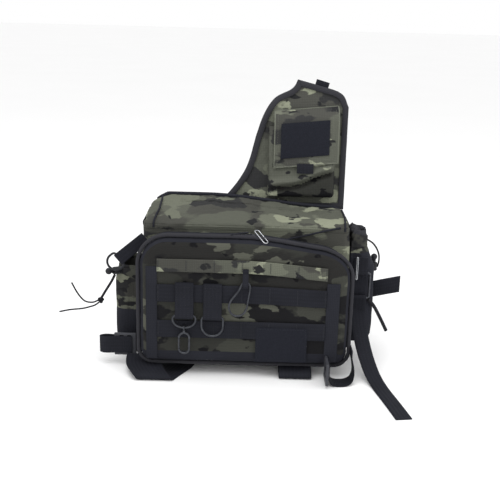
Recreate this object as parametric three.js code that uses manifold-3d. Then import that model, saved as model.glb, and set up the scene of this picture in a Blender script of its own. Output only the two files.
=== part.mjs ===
// A camouflage sling bag for fishing tackle, standing on the two webbing loops under its base.
// Millimetres, X to the right of the front, Y to the back, Z up from the floor.
import * as THREE from "three";
import { mergeVertices } from "three/addons/utils/BufferGeometryUtils.js";
import Module from "manifold-3d";

const wasm = await Module();
wasm.setup();

// Sizes that many pieces share
const GAP = 0.4;
const CLOTH = 2;
const WEB_WIDTH = 25;
const WEB_THICK = 1.6;
const WIRE = 1.6;
const CORD_RADIUS = 1.1;
const CORNER_STEPS = 4;
const EDGE_STEPS = 3;

// Main compartment: plan box, corner radii and how the wall runs from the base to the rim
const BODY = { left: -145, right: 145, low: -35, high: 66 };
const BODY_CORNERS = { lowLeft: 12, lowRight: 12, highRight: 30, highLeft: 30 };
const BODY_BASE = 18;
const BODY_LEVELS = [
  { rise: 0, inset: 14, tilt: 85 },
  { rise: 3, inset: 5, tilt: 50 },
  { rise: 11, inset: 1, tilt: 15 },
  { rise: 26, inset: 0, tilt: 0 },
  { rise: 150, inset: 0, tilt: 0 },
  { rise: 180, inset: 3, tilt: 0 },
];
const BODY_RIM = BODY_BASE + 180;

// Lid: a pillow that rises to the back, sinks along its back edge to the right and has one dent
const LID_INSET = 3;
const LID_FRONT = 12;
const LID_BACK = { left: 26, right: 12, start: -60, end: 130 };
const LID_SLANT = { left: 0.62, right: 0.15, front: 1, back: 0.25 };
const LID_DENT = { x: 60, y: 4, reach: 58, depth: 4 };
const LID_LEVELS = [
  { rise: 1.25, inset: 40, tilt: 90 },
  { rise: 1.18, inset: 24, tilt: 88 },
  { rise: 1, inset: 10, tilt: 75 },
  { rise: 0.8, inset: 3, tilt: 40 },
  { rise: 0.5, inset: 0, tilt: 0 },
  { rise: 0, inset: 0, tilt: 0 },
];

// Front pocket: upright arch, its rounded front edge and the droop of its right shoulder
const FRONT = { left: -142, right: 142, low: 20, high: 196 };
const FRONT_CORNERS = { lowLeft: 18, lowRight: 18, highRight: 42, highLeft: 38 };
const FRONT_FACE = -75;
const FRONT_LEVELS = [
  { rise: 0, inset: 9, tilt: 85 },
  { rise: 2.5, inset: 3, tilt: 45 },
  { rise: 8, inset: 0, tilt: 10 },
  { rise: 39.6, inset: 0, tilt: 0 },
];
const DROOP = { start: -10, end: 150, depth: 17, power: 2.3 };
const PIPING = { radius: 2.2, y: -66, out: 2.9 };
const FRONT_ZIP = { width: 9, y: -54, thick: 1.4 };

// Rows across the front face
const ROWS = [
  { name: "camo_band", z: 160, width: 18, finish: "camo" },
  { name: "webbing_upper", z: 121, width: WEB_WIDTH, finish: "webbing" },
  { name: "webbing_lower", z: 70, width: WEB_WIDTH, finish: "webbing" },
];
const ROW_ENDS = { left: -118, right: 110 };
const FRONT_PATCH = { x: 51, z: 50, width: 70, height: 50, thick: 1.4 };

// Front hardware
const FRONT_TABS = [
  { side: "left", x: -81, z: 91, length: 46, halfWidth: 15.5, drop: 17 },
  { side: "right", x: -43, z: 90, length: 46, halfWidth: 14.5, drop: 27 },
];
const TAB_HOLE = WIRE + 0.5;
const FRONT_HOLE = 3;
const HOOK = { eye: 3.3, eyeWire: 1.1, half: 7, top: -14.5, bottom: -30, wire: 1.6 };
const GATE_GAP = 0.8;
const CLIP = { x: 0.5, z: 138.5, hole: 4.2, loopWidth: 8, loopLength: 19, wire: 1.5 };
const CLIP_PATH = [
  { x: 6.4, z: -7 },
  { x: 5.6, z: -1.5 },
  { x: 3, z: 1.5 },
  { x: 0, z: 2.4 },
  { x: -3, z: 1.3 },
  { x: -5.6, z: -2.5 },
  { x: -8.5, z: -9 },
  { x: -19.5, z: -25 },
  { x: -21.5, z: -34 },
  { x: -18, z: -42 },
  { x: -10, z: -45.5 },
  { x: -2, z: -42 },
  { x: 2.6, z: -33.5 },
];

// Side pouches, in plan and in height
const POUCH_CORNERS = { outer: 20, inner: 4 };
const POUCHES = [
  { side: "left", sign: -1, near: 145.8, far: 186, slant: 1, low: -22, high: 54, base: 22 },
  { side: "right", sign: 1, near: 145.8, far: 186, slant: 1.7, low: -20, high: 52, base: 30 },
];
const POUCH_LEVELS = {
  left: [
    { rise: 0, inset: 9, tilt: 85 },
    { rise: 4, inset: 3, tilt: 45 },
    { rise: 14, inset: 0, tilt: 0 },
    { rise: 96, inset: 0, tilt: 0 },
    { rise: 118, inset: 5, tilt: 0 },
  ],
  right: [
    { rise: 0, inset: 9, tilt: 85 },
    { rise: 4, inset: 3, tilt: 45 },
    { rise: 14, inset: 0, tilt: 0 },
    { rise: 110, inset: 1, tilt: 0 },
    { rise: 142, inset: 7, tilt: 0 },
  ],
};
const COLLAR = { height: 25, inset: 7, lean: 6, waves: 9, depth: 1.4 };

// Straps, one row of path points each: x, y, z at the middle of the webbing
const BASE_LOOPS = [
  {
    name: "bottom_loop_left",
    width: 50,
    path: [
      [-139, -46, 18.6], [-139, -58, 14.6], [-136, -72, 12.4], [-128, -88, 9.6], [-122, -94, 5.4],
      [-120, -92, 1.8], [-117, -86, 0.8], [-111, -74, 0.8], [-95, -40, 0.8], [-92, 42, 0.8],
      [-92, 50, 0.8], [-92, 56, 2], [-92, 58.5, 6], [-92, 56, 11.5], [-92, 46, 16.4],
    ],
  },
  {
    name: "bottom_loop_right",
    width: 45,
    path: [
      [72, -46, 18.6], [72, -58, 14.2], [72, -71, 11.4], [72, -79.5, 7], [72, -79, 2.4],
      [72, -72, 0.8], [72, -64, 0.8], [72, 42, 0.8], [72, 50, 0.8], [72, 56, 2],
      [72, 58.5, 6], [72, 56, 11.5], [72, 46, 16.4],
    ],
  },
];
const LEFT_LOOP = [
  [-157, -43.2], [-180, -43.6], [-196, -44.6], [-202.6, -40], [-196, -35.4], [-180, -36.4], [-142.9, -36.8],
];
const LEFT_LOOP_Z = 31;
const RIGHT_LOOP = [
  [148.1, -72, 46], [148.1, -73, 36], [150.5, -76.5, 24], [151, -80, 12], [147, -84, 4], [138, -87, 0.9],
  [128, -88, 0.9], [120.5, -88, 3.5], [117, -88, 11], [116.4, -88, 20], [116.4, -88, 33],
];
const SIDE_TAB = [[186, 18, 102], [205, 14, 107.8], [224, 10, 113.4]];
const BUCKLE = { width: 31, height: 33, thick: 4, slot: 6.5, slotWide: 27 };

// Sling on the right: cloth tab, oblong ring, webbing fold and the free strap
const SLING_TAB = { x: 161, y: -23.7, z: 139, width: 20, length: 22 };
const SLING_RING = { width: 27, height: 36, corner: 3 };
const SLING_WIDTH = 22;
const SLING_FOLD = 18;
const SLING_SKEW = 8;
const SLING = [
  [0.4, -2, -9], [3, -15, -29], [9, -35, -54], [17, -57, -74], [24, -77, -82.2], [29, -99, -83.7],
  [35, -129, -83.7], [42, -167, -83.7],
];

// Left side ring and the draw cords
const SIDE_RING = { x: -172, y: -44, z: 158, lean: 50, width: 14, length: 42, half: 11.5, drop: 19 };
const LOCK = { radius: 5.4, length: 12, bore: 3.4, depth: 9.5, stem: 2.9, stemLength: 8, ball: 4.7, travel: 4 };
const LOCK_LEFT = { x: -176.5, y: -14.6, z: 132, turn: 8, yaw: 49 };
const LOCK_RIGHT = { x: 188.9, y: 40, z: 124 };
const KNOT = { x: -205, y: -14, z: 86, radius: 3 };
const TAILS = [
  {
    name: "cord_tail_upper",
    path: [
      [-208.3, -15.2, 86.2], [-216, -17, 83.6], [-226, -18, 85], [-232, -19.5, 91], [-238, -21, 101],
      [-244, -22, 114],
    ],
  },
  {
    name: "cord_tail_lower",
    path: [
      [-207.3, -15.8, 83.4], [-213, -17, 79.4], [-221, -18, 76.8], [-230, -20, 75], [-248, -24, 74],
      [-262, -26, 71.5],
    ],
  },
];

// Shoulder wing: outline over its seam, lean to the back, and the phone pocket on it
const SEAM_SLACK = 0.3;
const WING = { y: 73.5, z: 207, lean: 10, padThick: 10, bindThick: 12, bindWide: 9 };
const WING_LEFT = [
  [-54, 0], [-30, 19], [-6, 52], [3, 75], [8, 95], [13.5, 115], [20.5, 135], [30, 153], [39, 163], [50, 169],
  [60, 174], [66, 180], [70, 189],
];
const WING_RIGHT = [[93, 183], [136, 169], [146, 150], [143.5, 0]];
const BACK_PANEL = { left: -135, right: 135, low: 28, high: 206 };
const PHONE = { x: 78, z: 17, width: 98, height: 102, deep: 16 };
const FLAP = { x: 6, width: 94, top: 138, bottom: 46, thick: 2.2, slope: 0.1 };
const WING_PATCH = { width: 70, height: 50, thick: 1.4, z: 84 };

// Colours by material
const FINISH = {
  camo: { color: 0x4b4d42, roughness: 0.92, metalness: 0 },
  cloth: { color: 0x1d1d21, roughness: 0.95, metalness: 0 },
  webbing: { color: 0x19191e, roughness: 0.85, metalness: 0 },
  loop: { color: 0x222226, roughness: 1, metalness: 0 },
  plastic: { color: 0x232327, roughness: 0.5, metalness: 0 },
  gunmetal: { color: 0x55585c, roughness: 0.35, metalness: 0.9 },
  steel: { color: 0xc9cacc, roughness: 0.3, metalness: 0.95 },
};

const AXIS_X = new THREE.Vector3(1, 0, 0);
const AXIS_Y = new THREE.Vector3(0, 1, 0);
const AXIS_Z = new THREE.Vector3(0, 0, 1);
const radians = THREE.MathUtils.degToRad;
const vector = (point) => new THREE.Vector3(...point);

const root = new THREE.Group();
root.name = "fishing_bag";
const bag = new THREE.Group();
root.add(bag);
const looseCords = [];

function add(parent, name, geometry, finish) {
  const mesh = new THREE.Mesh(geometry, new THREE.MeshStandardMaterial(FINISH[finish]));
  mesh.name = name;
  parent.add(mesh);
  return mesh;
}

function group(parent, x, y, z) {
  const holder = new THREE.Group();
  holder.position.set(x, y, z);
  parent.add(holder);
  return holder;
}

// A skin through rings of equal point count: capped at both ends, or joined into a sleeve
function loft(rings, sleeve = false) {
  const count = rings[0].length;
  const points = rings.flat();
  const faces = [];
  const pairs = sleeve ? rings.length : rings.length - 1;
  for (let i = 0; i < pairs; i += 1) {
    const next = (i + 1) % rings.length;
    for (let k = 0; k < count; k += 1) {
      const side = (k + 1) % count;
      const a = i * count + k;
      const b = i * count + side;
      const c = next * count + side;
      const d = next * count + k;
      faces.push(a, b, c, a, c, d);
    }
  }
  if (!sleeve) {
    for (const [row, flip] of [[0, true], [rings.length - 1, false]]) {
      const centre = new THREE.Vector3();
      rings[row].forEach((point) => centre.add(point));
      points.push(centre.divideScalar(count));
      for (let k = 0; k < count; k += 1) {
        const a = row * count + k;
        const b = row * count + ((k + 1) % count);
        faces.push(points.length - 1, ...(flip ? [b, a] : [a, b]));
      }
    }
  }
  let volume = 0;
  for (let f = 0; f < faces.length; f += 3) {
    const [a, b, c] = [points[faces[f]], points[faces[f + 1]], points[faces[f + 2]]];
    volume += a.dot(b.clone().cross(c));
  }
  if (volume < 0) {
    faces.reverse();
  }
  const geometry = new THREE.BufferGeometry().setFromPoints(points);
  geometry.setIndex(faces);
  geometry.computeVertexNormals();
  return geometry;
}

// Points round a box with its own radius at each corner, from the lower right corner round to it again
function outline(box, corners, inset, cornerSteps = CORNER_STEPS, edgeSteps = EDGE_STEPS) {
  const table = [
    { x: box.right - inset, y: box.low + inset, sx: -1, sy: 1, from: -90, radius: corners.lowRight },
    { x: box.right - inset, y: box.high - inset, sx: -1, sy: -1, from: 0, radius: corners.highRight },
    { x: box.left + inset, y: box.high - inset, sx: 1, sy: -1, from: 90, radius: corners.highLeft },
    { x: box.left + inset, y: box.low + inset, sx: 1, sy: 1, from: 180, radius: corners.lowLeft },
  ];
  const arcs = table.map((corner) => {
    const radius = Math.max(corner.radius - inset, 1.5);
    return Array.from({ length: cornerSteps + 1 }, (_, k) => {
      const angle = radians(corner.from + (90 * k) / cornerSteps);
      const x = corner.x + corner.sx * radius + radius * Math.cos(angle);
      return new THREE.Vector2(x, corner.y + corner.sy * radius + radius * Math.sin(angle));
    });
  });
  return arcs.flatMap((arc, i) => {
    const start = arc[cornerSteps];
    const end = arcs[(i + 1) % 4][0];
    const edge = Array.from({ length: edgeSteps - 1 }, (_, k) => start.clone().lerp(end, (k + 1) / edgeSteps));
    return [...arc, ...edge];
  });
}
const SIDE_START = CORNER_STEPS + 1;
const SIDE_END = 3 * (CORNER_STEPS + EDGE_STEPS) - 1;

// A cloth cup: outer wall up its levels, over the rim, and down the inner wall to the inner floor
function cup(shape, levels, inward, place) {
  const outer = levels.map((level) => shape(level.inset, 0).map((p) => place(p, level.rise, 0)));
  const inner = levels.map((level) => {
    const across = CLOTH * Math.cos(radians(level.tilt));
    const along = inward * CLOTH * Math.sin(radians(level.tilt));
    return shape(level.inset, across).map((p) => place(p, level.rise, along));
  });
  return loft([...outer, ...inner.reverse()]);
}

// Webbing: a flat section carried along a path, with its width along a given direction
function ribbon(points, across, width, thick) {
  const last = points.length - 1;
  const rings = points.map((point, i) => {
    const tangent = points[Math.min(i + 1, last)].clone().sub(points[Math.max(i - 1, 0)]).normalize();
    const normal = tangent.clone().cross(across).normalize().multiplyScalar(thick / 2);
    const half = across.clone().multiplyScalar(width / 2);
    return [
      point.clone().add(half).add(normal),
      point.clone().sub(half).add(normal),
      point.clone().sub(half).sub(normal),
      point.clone().add(half).sub(normal),
    ];
  });
  return loft(rings);
}

// Round wire along a path that lies in one plane, open or closed on itself
function wire(points, radius, sides, normal, closed) {
  const count = points.length;
  const rings = points.map((point, i) => {
    const before = closed ? points[(i + count - 1) % count] : points[Math.max(i - 1, 0)];
    const after = closed ? points[(i + 1) % count] : points[Math.min(i + 1, count - 1)];
    const side = after.clone().sub(before).normalize().cross(normal);
    return Array.from({ length: sides }, (_, k) => {
      const angle = (2 * Math.PI * k) / sides;
      const arm = side.clone().multiplyScalar(radius * Math.cos(angle));
      return point.clone().add(arm).addScaledVector(normal, radius * Math.sin(angle));
    });
  });
  return loft(rings, closed);
}

// Round cord along a free curve
function cord(path, radius, steps) {
  const section = Array.from({ length: 8 }, (_, k) => {
    const angle = (2 * Math.PI * k) / 8;
    return new THREE.Vector2(radius * Math.cos(angle), radius * Math.sin(angle));
  });
  const curve = new THREE.CatmullRomCurve3(path.map(vector));
  return new THREE.ExtrudeGeometry(new THREE.Shape(section), { steps, extrudePath: curve });
}

const smooth = (points, count) => new THREE.CatmullRomCurve3(points, false, "centripetal").getPoints(count);

// A shape drawn in X and Z, standing upright, its front face the given depth before Y zero
function upright(shape, depth) {
  const options = { depth, bevelEnabled: false, curveSegments: 4 };
  return new THREE.ExtrudeGeometry(shape, options).rotateX(Math.PI / 2);
}

// A profile drawn in Y and Z, carried along X and centred there
function sideProfile(profile, width) {
  const geometry = new THREE.ExtrudeGeometry(profile, { depth: width, bevelEnabled: false, curveSegments: 5 });
  geometry.translate(0, 0, -width / 2);
  return geometry.applyMatrix4(new THREE.Matrix4().makeBasis(AXIS_Y, AXIS_Z, AXIS_X));
}

function roundedPlate(width, height, radius) {
  const box = { left: -width / 2, right: width / 2, low: -height / 2, high: height / 2 };
  const corners = { lowLeft: radius, lowRight: radius, highRight: radius, highLeft: radius };
  return new THREE.Shape(outline(box, corners, 0, 3, 1));
}

// Webbing folded round a bar: the eye is at the origin and both layers run up against the back
function webTab(length, width, hole) {
  const outer = hole + WEB_THICK;
  const front = outer - 2 * WEB_THICK;
  const profile = new THREE.Shape();
  profile.moveTo(outer, length);
  profile.lineTo(outer, 0);
  profile.absarc(0, 0, outer, 0, -Math.PI, true);
  profile.lineTo(front, outer * 2.2);
  profile.lineTo(front, length);
  profile.closePath();
  const eye = new THREE.Path();
  eye.absarc(0, 0, hole, 0, 2 * Math.PI, false);
  profile.holes.push(eye);
  return sideProfile(profile, width);
}

// Ring of round wire with a straight bar on top, hanging from the origin in X and Z
function dRing(half, drop, radius) {
  const corner = 4;
  const bow = Math.min(half, drop - corner - 1);
  const path = new THREE.Path();
  path.moveTo(corner - half, 0);
  path.lineTo(half - corner, 0);
  path.absarc(half - corner, -corner, corner, Math.PI / 2, 0, true);
  path.absellipse(0, bow - drop, half, bow, 0, -Math.PI, true, 0);
  path.absarc(corner - half, -corner, corner, Math.PI, Math.PI / 2, true);
  const points = path.getPoints(3).map((p) => new THREE.Vector3(p.x, 0, p.y));
  const apart = points.filter((p, i) => p.distanceTo(points[(i + 1) % points.length]) > 0.01);
  return wire(apart, radius, 8, AXIS_Y, true);
}

// One solid from several that overlap
function unite(geometries) {
  const solids = geometries.map((geometry) => {
    const bare = new THREE.BufferGeometry();
    bare.setAttribute("position", geometry.attributes.position);
    bare.setIndex(geometry.index);
    const merged = mergeVertices(bare, 1e-4);
    const vertProperties = new Float32Array(merged.attributes.position.array);
    const triVerts = new Uint32Array(merged.index.array);
    return new wasm.Manifold(new wasm.Mesh({ numProp: 3, vertProperties, triVerts }));
  });
  const mesh = wasm.Manifold.union(solids).getMesh();
  const geometry = new THREE.BufferGeometry();
  geometry.setAttribute("position", new THREE.BufferAttribute(new Float32Array(mesh.vertProperties), 3));
  geometry.setIndex(Array.from(mesh.triVerts));
  geometry.computeVertexNormals();
  return geometry;
}

function step(value) {
  const share = THREE.MathUtils.clamp(value, 0, 1);
  return share * share * (3 - 2 * share);
}

// How far a point of the front pocket sinks towards its right shoulder
function drooped(x, z) {
  const share = THREE.MathUtils.clamp((z - FRONT.low) / (FRONT.high - FRONT.low), 0, 1);
  return z - DROOP.depth * step((x - DROOP.start) / (DROOP.end - DROOP.start)) * share ** DROOP.power;
}

// Main compartment
const bodyShape = (inset, wall) => outline(BODY, BODY_CORNERS, inset + wall);
const bodyPlace = (p, rise, along) => new THREE.Vector3(p.x, p.y, BODY_BASE + rise + along);
add(bag, "main_shell", cup(bodyShape, BODY_LEVELS, 1, bodyPlace), "camo");

// Lid and its zip
function lidShape(inset, wall) {
  const rim = LID_INSET + wall;
  const box = {
    left: BODY.left + rim + inset * LID_SLANT.left,
    right: BODY.right - rim - inset * LID_SLANT.right,
    low: BODY.low + rim + inset * LID_SLANT.front,
    high: BODY.high - rim - inset * LID_SLANT.back,
  };
  const front = Math.max(BODY_CORNERS.lowLeft - rim - inset * 0.3, 2);
  const back = Math.max(BODY_CORNERS.highLeft - rim - inset * 0.4, 8);
  return outline(box, { lowLeft: front, lowRight: front, highRight: back, highLeft: back }, 0);
}
function lidPlace(p, rise, along) {
  const share = (p.y - BODY.low) / (BODY.high - BODY.low);
  const away = Math.hypot(p.x - LID_DENT.x, p.y - LID_DENT.y) / LID_DENT.reach;
  const dent = rise > 0.9 ? LID_DENT.depth * (1 - step(away)) : 0;
  const sink = step((p.x - LID_BACK.start) / (LID_BACK.end - LID_BACK.start));
  const back = LID_BACK.left + (LID_BACK.right - LID_BACK.left) * sink;
  const height = LID_FRONT + (back - LID_FRONT) * share;
  return new THREE.Vector3(p.x, p.y, BODY_RIM + GAP + rise * height - dent + along);
}
add(bag, "top_lid", cup(lidShape, LID_LEVELS, -1, lidPlace), "camo");
const lidZipPath = outline(BODY, BODY_CORNERS, LID_INSET - GAP - 0.7)
  .slice(SIDE_START, SIDE_END + 1)
  .map((p) => new THREE.Vector3(p.x, p.y, BODY_RIM + GAP + 3.6));
add(bag, "lid_zip", ribbon(lidZipPath, AXIS_Z, 6, 1.4), "cloth");

// Padded back
const backCorners = { lowLeft: 30, lowRight: 30, highRight: 24, highLeft: 24 };
const backShape = new THREE.Shape(outline(BACK_PANEL, backCorners, 0));
const backHolder = group(bag, 0, BODY.high + GAP + 10, 0);
add(backHolder, "back_panel", upright(backShape, 10), "cloth");

// Front pocket, its piping and its zip
const frontShape = (inset, wall) => outline(FRONT, FRONT_CORNERS, inset + wall);
const frontPlace = (p, rise, along) => new THREE.Vector3(p.x, FRONT_FACE + rise + along, drooped(p.x, p.y));
add(bag, "front_pocket", cup(frontShape, FRONT_LEVELS, 1, frontPlace), "camo");
const pipingPath = outline(FRONT, FRONT_CORNERS, -PIPING.out).map(
  (p) => new THREE.Vector3(p.x, PIPING.y, drooped(p.x, p.y)),
);
add(bag, "front_piping", wire(pipingPath, PIPING.radius, 7, AXIS_Y, true), "cloth");
const zipPath = outline(FRONT, FRONT_CORNERS, -GAP - FRONT_ZIP.thick / 2)
  .slice(SIDE_START, SIDE_END + 1)
  .map((p) => new THREE.Vector3(p.x, FRONT_ZIP.y, drooped(p.x, p.y)));
add(bag, "front_zip", ribbon(zipPath, AXIS_Y, FRONT_ZIP.width, FRONT_ZIP.thick), "cloth");

// Zip sliders side by side on top of the zip, a webbing pull to the left and a wire pull to the right
const sliderFoot = FRONT.high + 2 * GAP + FRONT_ZIP.thick;
const SLIDERS = [
  { side: "left", x: -2, sink: 1.5 },
  { side: "right", x: 12, sink: 2.1 },
];
const SLIDER_HIGH = 3.4;
for (const slider of SLIDERS) {
  const holder = group(bag, slider.x, FRONT_ZIP.y, sliderFoot - slider.sink);
  const body = new THREE.ExtrudeGeometry(roundedPlate(11, 8, 2), { depth: SLIDER_HIGH, bevelEnabled: false });
  add(holder, `zip_slider_${slider.side}`, body, "gunmetal");
}
const roofLeft = sliderFoot - SLIDERS[0].sink + SLIDER_HIGH + GAP + 0.8;
const pullPath = [[3, -53, roofLeft], [-8, -57, roofLeft], [-20, -67, roofLeft + 0.4]];
add(bag, "zip_pull_left", ribbon(smooth(pullPath.map(vector), 6), AXIS_Y, 5, WEB_THICK), "webbing");
const hoop = roundedPlate(7, 26, 3).getPoints().map((p) => new THREE.Vector3(p.x, 0, p.y));
const hoopHolder = group(bag, 20, -63, sliderFoot - SLIDERS[1].sink + SLIDER_HIGH + GAP + 0.8);
hoopHolder.rotation.set(Math.PI / 2, 0, radians(38), "ZYX");
add(hoopHolder, "zip_pull_right", wire(hoop, 0.8, 6, AXIS_Y, true), "steel");

const sidePull = roundedPlate(4, 32, 1.9).getPoints().map((p) => new THREE.Vector3(p.x, 0, p.y));
const sidePullHolder = group(bag, 155.2, SLING_TAB.y - TAB_HOLE - WEB_THICK - GAP - 0.8, 147);
add(sidePullHolder, "side_pull", wire(sidePull, 0.8, 6, AXIS_Y, true), "steel");

// Rows across the front and the soft patch
for (const row of ROWS) {
  const path = Array.from({ length: 9 }, (_, k) => {
    const x = THREE.MathUtils.lerp(ROW_ENDS.left, ROW_ENDS.right, k / 8);
    return new THREE.Vector3(x, FRONT_FACE - GAP - WEB_THICK / 2, drooped(x, row.z));
  });
  add(bag, row.name, ribbon(path, AXIS_Z, row.width, WEB_THICK), row.finish);
}
const rowFace = FRONT_FACE - GAP - WEB_THICK;
const patchHolder = group(bag, FRONT_PATCH.x, rowFace - GAP, FRONT_PATCH.z);
const frontPile = roundedPlate(FRONT_PATCH.width, FRONT_PATCH.height, 3);
add(patchHolder, "loop_patch_front", upright(frontPile, FRONT_PATCH.thick), "loop");

// Front tabs with their rings
const ringHolders = {};
for (const tab of FRONT_TABS) {
  const holder = group(bag, tab.x, rowFace - GAP - FRONT_HOLE - WEB_THICK, tab.z);
  add(holder, `tab_${tab.side}`, webTab(tab.length, WEB_WIDTH, FRONT_HOLE), "webbing");
  add(holder, `d_ring_${tab.side}`, dRing(tab.halfWidth, tab.drop, WIRE), "gunmetal");
  ringHolders[tab.side] = holder;
}

// Snap hook on the bow of the left ring
const hookHolder = group(ringHolders.left, 0, 0, -FRONT_TABS[0].drop);
const hookEye = new THREE.TorusGeometry(HOOK.eye, HOOK.eyeWire, 8, 12).rotateY(Math.PI / 2);
const hookNeck = new THREE.CylinderGeometry(1.7, 1.9, 5, 10).rotateX(Math.PI / 2).translate(0, 0, -5.8);
const hookPath = new THREE.Path();
hookPath.absarc(0, HOOK.top, HOOK.half, Math.PI, 0, true);
hookPath.absarc(0, HOOK.bottom, HOOK.half, 0, -Math.PI, true);
const hookPoints = hookPath.getPoints(4).map((p) => new THREE.Vector3(p.x, 0, p.y));
const hookBow = wire(hookPoints, HOOK.wire, 8, AXIS_Y, false);
add(hookHolder, "snap_hook", unite([hookEye, hookNeck, hookBow]), "gunmetal");
const hookGate = [
  new THREE.Vector3(-HOOK.half, 0, HOOK.bottom + GATE_GAP),
  new THREE.Vector3(-HOOK.half, 0, HOOK.top - GATE_GAP),
];
add(hookHolder, "snap_gate", wire(hookGate, 1.3, 8, AXIS_Y, false), "gunmetal");

// Carabiner hanging in its own small loop
const clipOuter = CLIP.hole + WEB_THICK;
const clipHolder = group(bag, CLIP.x, rowFace - GAP - clipOuter, CLIP.z);
add(clipHolder, "carabiner_loop", webTab(CLIP.loopLength, CLIP.loopWidth, CLIP.hole), "webbing");
const clipPoints = smooth(CLIP_PATH.map((p) => new THREE.Vector3(p.x, 0, p.z)), 26);
add(clipHolder, "carabiner", wire(clipPoints, CLIP.wire, 8, AXIS_Y, false), "gunmetal");
const gateLow = clipPoints[clipPoints.length - 1];
const gateHigh = clipPoints[0];
const gateLine = gateHigh.clone().sub(gateLow).normalize().multiplyScalar(GATE_GAP);
const clipGate = [gateLow.clone().add(gateLine), gateHigh.clone().sub(gateLine)];
add(clipHolder, "carabiner_gate", wire(clipGate, 1.1, 8, AXIS_Y, false), "gunmetal");

// Side pouches and the gathered collar of the right one
function pouchShape(pouch) {
  return (inset, wall) => {
    const near = pouch.near + wall;
    const far = pouch.far - inset * pouch.slant - wall;
    const [left, right] = pouch.sign > 0 ? [near, far] : [-far, -near];
    const box = { left, right, low: pouch.low + inset + wall, high: pouch.high - inset - wall };
    const inner = POUCH_CORNERS.inner;
    const outer = POUCH_CORNERS.outer;
    const [leftRadius, rightRadius] = pouch.sign > 0 ? [inner, outer] : [outer, inner];
    const corners = { lowLeft: leftRadius, highLeft: leftRadius, lowRight: rightRadius, highRight: rightRadius };
    return outline(box, corners, 0);
  };
}
for (const pouch of POUCHES) {
  const place = (p, rise, along) => new THREE.Vector3(p.x, p.y, pouch.base + rise + along);
  add(bag, `pouch_${pouch.side}`, cup(pouchShape(pouch), POUCH_LEVELS[pouch.side], 1, place), "camo");
}
const rightPouch = POUCHES[1];
const collarBase = rightPouch.base + 142 + GAP;
const collarMiddle = { x: (rightPouch.near + rightPouch.far) / 2, y: (rightPouch.low + rightPouch.high) / 2 };
function collarRing(share, wall) {
  return pouchShape(rightPouch)(COLLAR.inset + 2 * share, wall).map((p) => {
    const angle = Math.atan2(p.y - collarMiddle.y, p.x - collarMiddle.x);
    const wave = 1 - (share * COLLAR.depth * (1 + Math.cos(COLLAR.waves * angle))) / 30;
    const x = collarMiddle.x + (p.x - collarMiddle.x) * wave;
    const y = collarMiddle.y + (p.y - collarMiddle.y) * wave;
    const lean = (COLLAR.lean * (y - collarMiddle.y)) / 40;
    return new THREE.Vector3(x, y, collarBase + share * (COLLAR.height + lean));
  });
}
const collarShares = [0, 0.5, 1];
const collarWalls = [
  ...collarShares.map((share) => collarRing(share, 0)),
  ...collarShares.map((share) => collarRing(share, 1.2)).reverse(),
];
add(bag, "collar_right", loft(collarWalls, true), "cloth");

// Cord locks: a barrel with a sprung ball-headed button
function lockBarrel() {
  const foot = [[0, 0], [LOCK.radius - 1, 0], [LOCK.radius, 1]];
  const head = [[LOCK.radius, LOCK.length - 1], [LOCK.radius - 1, LOCK.length]];
  const bore = [[LOCK.bore, LOCK.length], [LOCK.bore, LOCK.length - LOCK.depth], [0, LOCK.length - LOCK.depth]];
  const rows = [...foot, ...head, ...bore].map((p) => new THREE.Vector2(...p));
  return new THREE.LatheGeometry(rows, 14).rotateX(Math.PI / 2);
}
function lockButton() {
  const low = LOCK.length + LOCK.travel + 1 - LOCK.stemLength;
  const neck = LOCK.length + LOCK.travel + 1;
  const middle = neck + LOCK.ball - 1;
  const rows = [[0, low], [LOCK.stem, low], [LOCK.stem, neck]];
  for (let k = 0; k <= 6; k += 1) {
    const angle = -0.85 + ((Math.PI / 2 + 0.85) * k) / 6;
    rows.push([Math.max(LOCK.ball * Math.cos(angle), 0), middle + LOCK.ball * Math.sin(angle)]);
  }
  rows[rows.length - 1][0] = 0;
  return new THREE.LatheGeometry(rows.map((p) => new THREE.Vector2(...p)), 14).rotateX(Math.PI / 2);
}
const lockLeft = group(bag, LOCK_LEFT.x, LOCK_LEFT.y, LOCK_LEFT.z);
lockLeft.rotation.set(0, radians(-90 + LOCK_LEFT.turn), radians(LOCK_LEFT.yaw), "ZYX");
add(lockLeft, "cord_lock_left", lockBarrel(), "plastic");
add(lockLeft, "lock_button_left", lockButton(), "plastic");
const lockRight = group(bag, LOCK_RIGHT.x, LOCK_RIGHT.y, LOCK_RIGHT.z);
add(lockRight, "cord_lock_right", lockBarrel(), "plastic");
add(lockRight, "lock_button_right", lockButton(), "plastic");

// Draw cords, knot and tails
const leftCord = [[-183, -22, 127], [-188, -21, 117], [-197, -18, 102], [-204.2, -13.6, 89.5]];
looseCords.push(add(bag, "drawcord_left", cord(leftCord, CORD_RADIUS, 10), "cloth"));
const knot = new THREE.IcosahedronGeometry(KNOT.radius, 1).scale(1.1, 1, 1).translate(KNOT.x, KNOT.y, KNOT.z);
looseCords.push(add(bag, "cord_knot", knot, "cloth"));
for (const tail of TAILS) {
  looseCords.push(add(bag, tail.name, cord(tail.path, 0.9, 8), "cloth"));
}
const rightCord = [
  [195.6, 40, 129], [196.2, 40, 137], [195.8, 39.5, 147], [192, 37.5, 157], [184, 30, 168], [174.5, 22, 175.5],
];
looseCords.push(add(bag, "drawcord_right", cord(rightCord, CORD_RADIUS, 11), "cloth"));

const sideTail = [[175.1, -19.7, 99], [184.2, -14.2, 87.5], [196, -8, 66.5], [205.8, -8, 47.6]];
looseCords.push(add(bag, "side_tail", cord(sideTail, 2, 10), "webbing"));

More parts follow.
